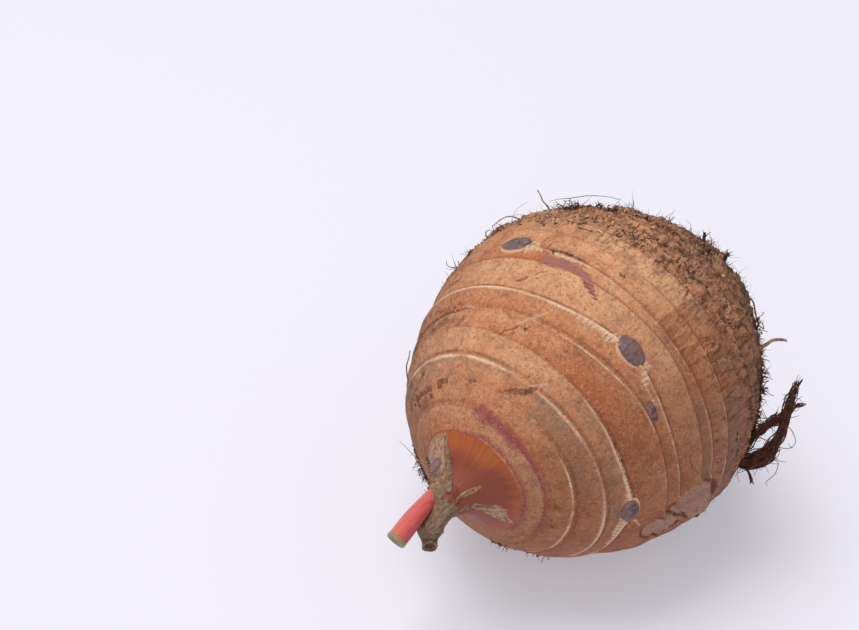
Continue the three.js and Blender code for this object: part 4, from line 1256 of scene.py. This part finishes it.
def loose_strands():
    paths = []
    for radius, station, angle, rows in LOOSE_ROOTS:
        rows = np.array(rows)
        start = skin_point(station, angle)
        paths.append((radius, start + rows[:, :1] * TUFT_OUT + rows[:, 1:] * TUFT_UP))
    for radius, rows in HIDDEN_ROOTS:
        paths.append((radius, np.array([skin_point(s, a, h) for s, a, h in rows])))
    result = []
    for number, (radius, points) in enumerate(paths):
        path = through(points, 8 * len(points))
        wobble = np.stack([layered(path, 2.2, 300 + 7 * number + k, 2) for k in range(3)], axis=-1)
        t = np.linspace(0, 1, len(path))
        result.append((path + 0.3 * t[:, None] * wobble, radius * (1.1 - 0.5 * t)))
    return result


def base_strands():
    """The broken root bases over the root end, each a frayed stump."""
    random = park(11)
    extra = np.random.default_rng(12)
    tuft_root = skin_point(*TUFT_ROOT)
    result = []
    for index in range(ROOT_BASES["count"]):
        spread = math.sqrt(next(random))
        station = ROOT_BASES["from"] + (ROOT_BASES["to"] - ROOT_BASES["from"]) * spread
        angle = 360 * (index * 0.618 % 1) + 20 * next(random)
        foot, out, _, _ = skin_frame(station, angle)
        middle = (BARE_SIDE["from"] + BARE_SIDE["to"]) / 2
        bare = abs(apart(angle, middle)) < BARE_SIDE["to"] - middle and station > BARE_SIDE["until"]
        gap = np.linalg.norm(foot - tuft_root)
        if bare or foot[2] < ROOT_BASES["lowest"] or gap < ROOT_BASES["clear"]:
            continue
        way = unit(out + np.array([next(random) - 0.5, 0.6 * next(random), next(random) - 0.5]))
        length = ROOT_BASES["length"] * (0.5 + next(random))
        radius = ROOT_BASES["radius"] * (0.7 + 0.6 * next(random))
        t = np.linspace(-0.8, 1, 7)[:, None]
        wobble = 0.2 * extra.normal(size=(7, 3)) * np.maximum(t, 0)
        result.append((foot + way * t * length + wobble, radius * np.linspace(1.35, 0.65, 7)))
        for _ in range(5):
            side = unit(extra.normal(size=3))
            t = np.linspace(0, 1, 6)[:, None]
            start = foot + way * length * extra.uniform(0.3, 0.9) + 0.5 * radius * side
            reach = extra.uniform(0.8, 2.6)
            path = start + way * t * reach + side * t**2 * reach * 0.6
            result.append((path, np.linspace(0.17, 0.05, 6)))
    return result + tangled_strands(extra)


def tangled_strands(random):
    """Short curled roots in knots on the skin."""
    result = []
    t = np.linspace(0, 1, 11)[:, None]
    for station, angle, count in TANGLES:
        foot, out, across, lengthwise = skin_frame(station, angle)
        for _ in range(count):
            start = foot + random.uniform(-2.4, 2.4) * across + random.uniform(-1.4, 1.4) * lengthwise
            way = unit(out * random.uniform(0.1, 1) + 0.6 * random.normal(size=3))
            side, reach = unit(random.normal(size=3)), random.uniform(1.5, 4.5)
            curl = side * np.sin(t * random.uniform(2, 7)) * 0.3 * reach
            result.append((start - 0.4 * out + way * t * 0.7 * reach + curl, np.linspace(0.16, 0.06, 11)))
    return result


def measure(label, text, default_mm):
    return FloatProperty(
        name=label, description=text, default=default_mm * MM, min=0, unit="LENGTH", precision=5,
    )


def tint(label, text, code):
    return FloatVectorProperty(
        name=label, description=text, default=linear(code), size=4, min=0, max=1, subtype="COLOR",
    )


class TaroSizes(bpy.types.PropertyGroup):
    scar_crest: measure("Scar crest", "Extra height of a leaf scar's thin crest", 0.45)
    hair_length: measure("Hair length", "Length of the fine hairs on the old bark", 2.6)
    hair_thickness: measure("Hair thickness", "Radius of a hair at its root", 0.09)
    fibre_length: measure("Fibre length", "Length of the fibres that lie on the old bark", 6)
    crumb_size: measure("Crumb size", "Radius of a crumb of soil", 0.5)
    flake_size: measure("Flake size", "Width of a curled flake of torn skin", 2)
    hair_density: FloatProperty(name="Hair density", description="Hairs on a square metre", default=260000)
    fibre_density: FloatProperty(name="Fibre density", description="Fibres on a square metre", default=90000)
    crumb_density: FloatProperty(name="Crumb density", description="Crumbs on a square metre", default=560000)
    flake_density: FloatProperty(name="Flake density", description="Flakes on a square metre", default=60000)
    strand_sides: IntProperty(name="Strand sides", description="Sides of a root strand", default=6, min=3)


class TaroColours(bpy.types.PropertyGroup):
    orange: tint("Orange bark", "Bark just behind a leaf scar", "B4663A")
    tan: tint("Tan bark", "Pale bark before the next scar", "DCA67C")
    # Dark bark is also laid over as painted shade, beside the scar lines and away from the top
    dark: tint("Dark bark", "Darker streaks and crusts", "6C3A26")
    brown: tint("Old bark", "Worn bark towards the root end", "7F5642")
    grey: tint("Grey bark", "Grey-brown stains", "8C735E")
    soil: tint("Soil", "Dried soil in the cracks", "46332A")
    cream: tint("Leaf scar", "Thin pale scar lines and bands", "E4C4A4")
    pink: tint("Pink scar", "Reddish scar beside a bud", "9C6458")
    wound: tint("Side scar", "Smooth scar of a broken side corm", "A6826E")
    cone: tint("Cone", "Fresh orange at the foot of the cone", "AC5A2A")
    cone_red: tint("Cone red", "Red-brown towards the neck", "82402E")
    violet: tint("Violet", "Red-violet marks on the cone and its rings", "8E4048")
    straw: tint("Straw", "Old leaf sheath and ribs", "AC8866")
    sheath: tint("Sheath", "Woody brown of the sheath stub", "786250")
    # Also used as painted shade in the grooves of the sheath stub
    sheath_dark_and_shade: tint("Sheath grooves", "Dark fibres and grooves of the sheath", "42342A")
    bud_grey: tint("Grey bud", "Bud scales, grey", "665A56")
    bud_pink: tint("Pink bud", "Bud scales, pinkish", "8C5C5E")
    # Painted highlights on the buds, given as pale streaks
    bud_painted_highlight: tint("Pale bud", "Pale dust on a bud", "A79C9C")
    bud_dark: tint("Dark bud", "Dark wrinkles of a bud", "3A3232")
    stalk: tint("Stalk", "Fresh pink of the young stalk", "D2665C")
    # Also used as painted shade towards the stalk's underside
    stalk_red_and_shade: tint("Stalk red", "Deeper red along the stalk", "AE3044")
    stalk_pale: tint("Stalk pale", "Pale streaks on the stalk", "E8928A")
    stalk_dark: tint("Stalk pith", "Dark middle of the cut", "5C4A38")
    olive: tint("Cut end", "Drying cut end of the stalk", "8E8052")
    root_dark: tint("Root", "Dark red-brown of the torn roots", "3C2620")
    root_red: tint("Root red", "Redder strands of the tuft", "683A2A")
    fibre: tint("Fibre", "Loose fibres on the bark", "6E5240")
    fibre_pale: tint("Pale fibre", "Bleached fibres", "A98C6C")
    floor: tint("Floor", "Pale studio floor", "BDBBC4")


class TARO_OT_skin(bpy.types.Operator):
    """Build the corm's skin with its leaf scars, cone, torn bark and side scar"""

    bl_idname = "taro.build_skin"
    bl_label = "Corm skin"

    def execute(self, context):
        made = build_skin(context.scene.taro_sizes)
        dress(outwards(made), bark_material(context.scene.taro_colours), "bark", "corm")
        return {"FINISHED"}


class TARO_OT_buds(bpy.types.Operator):
    """Build the dormant buds as wrinkled oval caps that sit in the leaf scars"""

    bl_idname = "taro.build_buds"
    bl_label = "Buds"

    def execute(self, context):
        rings, sides = 22, 40
        tilt = np.linspace(0, math.pi, rings + 2)[1:-1]
        tilt, turn = np.meshgrid(tilt, full_turn(sides), indexing="ij")
        x, y, z = np.sin(tilt) * np.cos(turn), np.sin(tilt) * np.sin(turn), np.cos(tilt)
        meridian = x / np.sqrt(np.maximum(1 - y * y, 0.02))
        flat = 1 - np.clip(z, 0, 1)
        tubes, edge, grey = [], [], []
        for number, (station, angle, size_round, size_along, proud, greyness) in enumerate(BUDS):
            centre, out, across, lengthwise = skin_frame(station, angle)
            wrinkle = np.sin(13 * meridian + number) * 0.06 + np.sin(29 * meridian) * 0.03
            height = (z * 2.3 - 1.2) * proud + wrinkle * np.maximum(z, 0) * 1.2
            height = height + 0.1 * layered(np.stack([x * 3, y * 3, z + number], -1), 1, 400)
            cap = centre + x[..., None] * across * size_round * 0.56
            cap = cap + y[..., None] * lengthwise * size_along * 0.58 + height[..., None] * out
            tubes.append((cap, [centre + out * 1.1 * proud, centre - out * 3.5 * proud]))
            edge += with_ends(smooth(flat, 0.35, 0.62), 0, 1).tolist()
            grey += [greyness] * (rings * sides + 2)
        made = tubes_object("buds", tubes, {"edge": edge, "grey": grey})
        dress(outwards(made), bud_material(context.scene.taro_colours), "bark")
        return {"FINISHED"}


class TARO_OT_sheath(bpy.types.Operator):
    """Build the broken stub of the old leaf sheath and the ribs that run down on to the cone"""

    bl_idname = "taro.build_sheath"
    bl_label = "Sheath stub and ribs"

    def execute(self, context):
        material = sheath_material(context.scene.taro_colours)
        steps, sides = 70, 56
        line = through(SHEATH_STUB, steps)
        centres, radii = stub_rows(line)

        def ridged(t, turn):
            ridges = 0.025 * np.sin(13 * turn + 3 * t) + 0.02 * np.sin(29 * turn - 5 * t + 1)
            ring = np.stack([2 * np.cos(turn), 2 * np.sin(turn), np.full(turn.shape, 7 * t)], -1)
            return 1 + (ridges + 0.13 * layered(ring, 1.1, 500)) * smooth(t, 0.02, 0.2)

        rings = with_end(swept(centres, radii, sides, ridged), centres, SHEATH_END)
        share = np.tile(np.linspace(0, 1, len(rings))[:, None], (1, sides))
        turn = full_turn(sides)[None, :]
        # Painted shade: darker in the grooves between the stub's ridges; a band beside its knob and its
        # broken end are darker too
        depth = smooth(-np.sin(13 * turn + 3 * share), 0.3, 1) * 0.45
        depth[-3:] = 0.8
        knob = bell(share - 0.74, 0.05)
        around = np.degrees(np.arctan2(-np.cos(turn), np.sin(turn)))
        stations = np.append(line[:, 1], [line[-1, 1]] * len(SHEATH_END))[:, None]
        fresh = window(around, 10, 130, 25) * (1 - smooth(stations, 54.6, 58.5))
        groove = with_ends(np.maximum(depth, 0.6 * knob), 0, 1)
        masks = {"groove": groove, "fresh": with_ends(fresh, 0, 0)}
        made = tubes_object("sheath_stub_bark", [(rings, middles(rings))], masks)
        dress(outwards(made), material, "dry_sheath", "sheath_stub")

        steps, sides = 30, 20
        tubes, grooves = [], []
        for path, radius in SHEATH_RIBS:

            def fibrous(t, turn):
                along = np.full(turn.shape, 7 * t + radius)
                ring = np.stack([3 * np.cos(turn), 3 * np.sin(turn), along], -1)
                return 1 + 0.3 * layered(ring, 1, 520) + 0.08 * np.sin(7 * turn)

            line = skin_point(*through(path, steps).T, -0.3 * radius)
            radii = radius * (1 - 0.65 * np.linspace(0, 1, steps) ** 1.5)
            rings = swept(line, radii, sides, fibrous)
            tubes.append((rings, middles(rings)))
            grooves += with_ends(smooth(layered(rings, 1, 530), 0, 0.4), 0, 0).tolist()
        made = tubes_object("sheath_ribs", tubes, {"groove": grooves, "fresh": np.zeros(len(grooves))})
        dress(outwards(made), material, "dry_sheath")
        return {"FINISHED"}


class TARO_OT_stalk(bpy.types.Operator):
    """Build the cut stub of the young pink leaf stalk with its drying cut end"""

    bl_idname = "taro.build_stalk"
    bl_label = "Stalk stub"

    def execute(self, context):
        steps, sides = 60, 48
        centres, radii = stub_rows(through(STALK_STUB, steps))

        def waxy(t, turn):
            return 1 + 0.02 * np.sin(11 * turn + t) + 0.015 * np.sin(23 * turn) + 0.05 * np.cos(2 * turn + 1)

        rings = swept(centres, radii, sides, waxy)
        ahead = unit(centres[-1] - centres[-4])
        slant = unit(np.array(CUT_SLANT) - np.dot(CUT_SLANT, ahead) * ahead)
        share = smooth(np.linspace(0, 1, steps), 0.8, 1)[:, None]
        shift = 0.55 * share * ((rings - centres[:, None]) @ slant)
        rings = with_end(rings + shift[..., None] * ahead, centres, STALK_END)
        t, turn = np.meshgrid(np.linspace(0, 1, len(rings)), full_turn(sides), indexing="ij")
        pith = np.zeros(t.shape)
        pith[-3:] = 0.55
        # The shade mask is painted shade, highest on the stalk's underside
        masks = {
            "cut": with_ends(smooth(t, 0.885, 0.925), 0, 1), "pith": with_ends(pith, 0, 0.6),
            "shade": with_ends(0.5 - 0.5 * np.sin(turn + 0.6), 0, 0),
        }
        made = tubes_object("stalk_stub_skin", [(rings, middles(rings))], masks)
        dress(outwards(made), stalk_material(context.scene.taro_colours), "fresh_stalk", "stalk_stub")
        return {"FINISHED"}


class TARO_OT_roots(bpy.types.Operator):
    """Build the torn root tuft, the broken root bases and the loose wiry roots"""

    bl_idname = "taro.build_roots"
    bl_label = "Roots"

    def execute(self, context):
        colours, sizes = context.scene.taro_colours, context.scene.taro_sizes
        dark, fibre, soil = colours.root_dark, colours.fibre, colours.soil
        tree = strand_tree()
        red = root_material("torn root fibre", dark, colours.root_red, soil, 0.4)
        brown = root_material("dead root", dark, fibre, soil, 0.4)
        pale = root_material("dry root hair", fibre, colours.fibre_pale, soil, 0.3)
        for name, strands, material, nodes in (
            ("root_tuft_strands", tuft_strands(), red, ["root_tuft"]),
            ("root_bases", base_strands(), brown, []),
            ("loose_roots", loose_strands(), pale, []),
        ):
            values = {"Sides": sizes.strand_sides, "Material": material}
            dress(grow(strands_object(name, strands), tree, values), None, "dead_roots", *nodes)
        return {"FINISHED"}


class TARO_OT_hairs(bpy.types.Operator):
    """Grow the fine hairs and the lying fibres of the old bark"""

    bl_idname = "taro.build_hairs"
    bl_label = "Hairs and fibres"

    def execute(self, context):
        colours, sizes = context.scene.taro_colours, context.scene.taro_sizes
        tree = hair_tree()
        hairs = {
            "Density": sizes.hair_density, "Length": sizes.hair_length, "Thickness": sizes.hair_thickness,
            "Lean": 1.0, "Wander": 0.0022, "Seed": 3,
            "Material": root_material("fine root hair", colours.soil, colours.fibre, colours.soil, 0.3),
        }
        fibres = {
            "Density": sizes.fibre_density, "Length": sizes.fibre_length,
            "Thickness": 1.3 * sizes.hair_thickness, "Lean": 1.6, "Wander": 0.005, "Seed": 9,
            "Material": root_material("bark fibre", colours.fibre, colours.fibre_pale, colours.soil, 0.4),
        }
        dress(grow_on_skin("bark_hairs", tree, hairs), None, "dead_roots")
        dress(grow_on_skin("bark_fibres", tree, fibres), None, "dead_roots")
        return {"FINISHED"}


class TARO_OT_soil(bpy.types.Operator):
    """Grow the crumbs of dried soil and the curled flakes of torn skin"""

    bl_idname = "taro.build_soil"
    bl_label = "Soil and flakes"

    def execute(self, context):
        colours, sizes = context.scene.taro_colours, context.scene.taro_sizes
        crumbs = {
            "Density": sizes.crumb_density, "Size": sizes.crumb_size, "Seed": 4,
            "Material": root_material("dried soil", colours.soil, colours.brown, colours.soil, 0.6),
        }
        flakes = {
            "Density": sizes.flake_density, "Size": sizes.flake_size, "Seed": 6,
            "Material": root_material("torn bark skin", colours.dark, colours.tan, colours.soil, 0.15),
        }
        dress(grow_on_skin("soil_crumbs", crumb_tree(), crumbs), None, "bark")
        dress(grow_on_skin("skin_flakes", flake_tree(), flakes), None, "bark")
        return {"FINISHED"}


class TARO_OT_stage(bpy.types.Operator):
    """Set the pale floor, the soft studio light and the camera"""

    bl_idname = "taro.build_stage"
    bl_label = "Stage"

    def execute(self, context):
        scene = context.scene
        half = FLOOR_SIZE / 2
        corners = [(-half, -half, 0), (half, -half, 0), (half, half, 0), (-half, half, 0)]
        floor = new_object("floor", corners, [(0, 1, 2, 3)])
        look = Look("pale studio card")
        links = {"Height": look.spots(1.5, 0.3, 0.7), "Distance": 0.00002, "Strength": 0.3}
        bump = look.add("ShaderNodeBump", links)
        glow = {"Emission Color": (0.93, 0.92, 1, 1), "Emission Strength": 0.33}
        floor.data.materials.append(look.finish(scene.taro_colours.floor, 0.8, bump, 0.2, **glow))

        world = bpy.data.worlds.new("studio")
        world.use_nodes = True
        world.node_tree.nodes.clear()
        sky = add(world.node_tree, "ShaderNodeBackground", {"Color": (0.95, 0.95, 1, 1), "Strength": 0.45})
        add(world.node_tree, "ShaderNodeOutputWorld", {"Surface": sky})
        scene.world = world
        for name, at, size, energy, colour in LIGHTS:
            light = bpy.data.lights.new(name, "AREA")
            light.size, light.energy, light.color = size, energy, colour
            aimed(light, at, Vector(LIT_POINT) - Vector(at))

        turn, tilt = math.radians(CAMERA["turn"]), math.radians(CAMERA["height"])
        right = Vector((math.cos(turn), math.sin(turn), 0))
        back = Vector((math.sin(turn) * math.cos(tilt), -math.cos(turn) * math.cos(tilt), math.sin(tilt)))
        middle = Vector(place(0, 0, 0)) - CAMERA["left"] * right + CAMERA["up"] * back.cross(right)
        camera = bpy.data.cameras.new("camera")
        camera.lens, camera.sensor_width = CAMERA["lens"], 36
        camera.clip_start, camera.clip_end = 0.05, 20
        scene.camera = aimed(camera, (middle + CAMERA["away"] * back) * MM, -back)
        scene.view_settings.view_transform = "Standard"
        return {"FINISHED"}


def aimed(data, at, direction):
    """Put a lamp or the camera into the scene, looking along a direction."""
    made = bpy.data.objects.new(data.name, data)
    made.location = at
    made.rotation_mode = "QUATERNION"
    made.rotation_quaternion = direction.to_track_quat("-Z", "Y")
    bpy.context.scene.collection.objects.link(made)
    return made


STEPS = (
    TARO_OT_skin, TARO_OT_buds, TARO_OT_sheath, TARO_OT_stalk, TARO_OT_roots, TARO_OT_hairs, TARO_OT_soil,
    TARO_OT_stage,
)


class TARO_PT_panel(bpy.types.Panel):
    """The taro corm's settings and the steps that build it"""

    bl_idname = "TARO_PT_panel"
    bl_label = "Taro corm"
    bl_space_type = "VIEW_3D"
    bl_region_type = "UI"
    bl_category = "Taro"

    def draw(self, context):
        for group in (context.scene.taro_sizes, context.scene.taro_colours):
            box = self.layout.box()
            for key in group.__annotations__:
                box.prop(group, key)
        for step in STEPS:
            self.layout.operator(step.bl_idname)


CLASSES = (TaroSizes, TaroColours, *STEPS, TARO_PT_panel)


def register():
    for one in CLASSES:
        bpy.utils.register_class(one)
    bpy.types.Scene.taro_sizes = PointerProperty(type=TaroSizes)
    bpy.types.Scene.taro_colours = PointerProperty(type=TaroColours)


def unregister():
    del bpy.types.Scene.taro_colours
    del bpy.types.Scene.taro_sizes
    for one in reversed(CLASSES):
        bpy.utils.unregister_class(one)


def main():
    register()
    for step in STEPS:
        group, name = step.bl_idname.split(".")
        getattr(getattr(bpy.ops, group), name)()


if __name__ == "__main__":
    main()
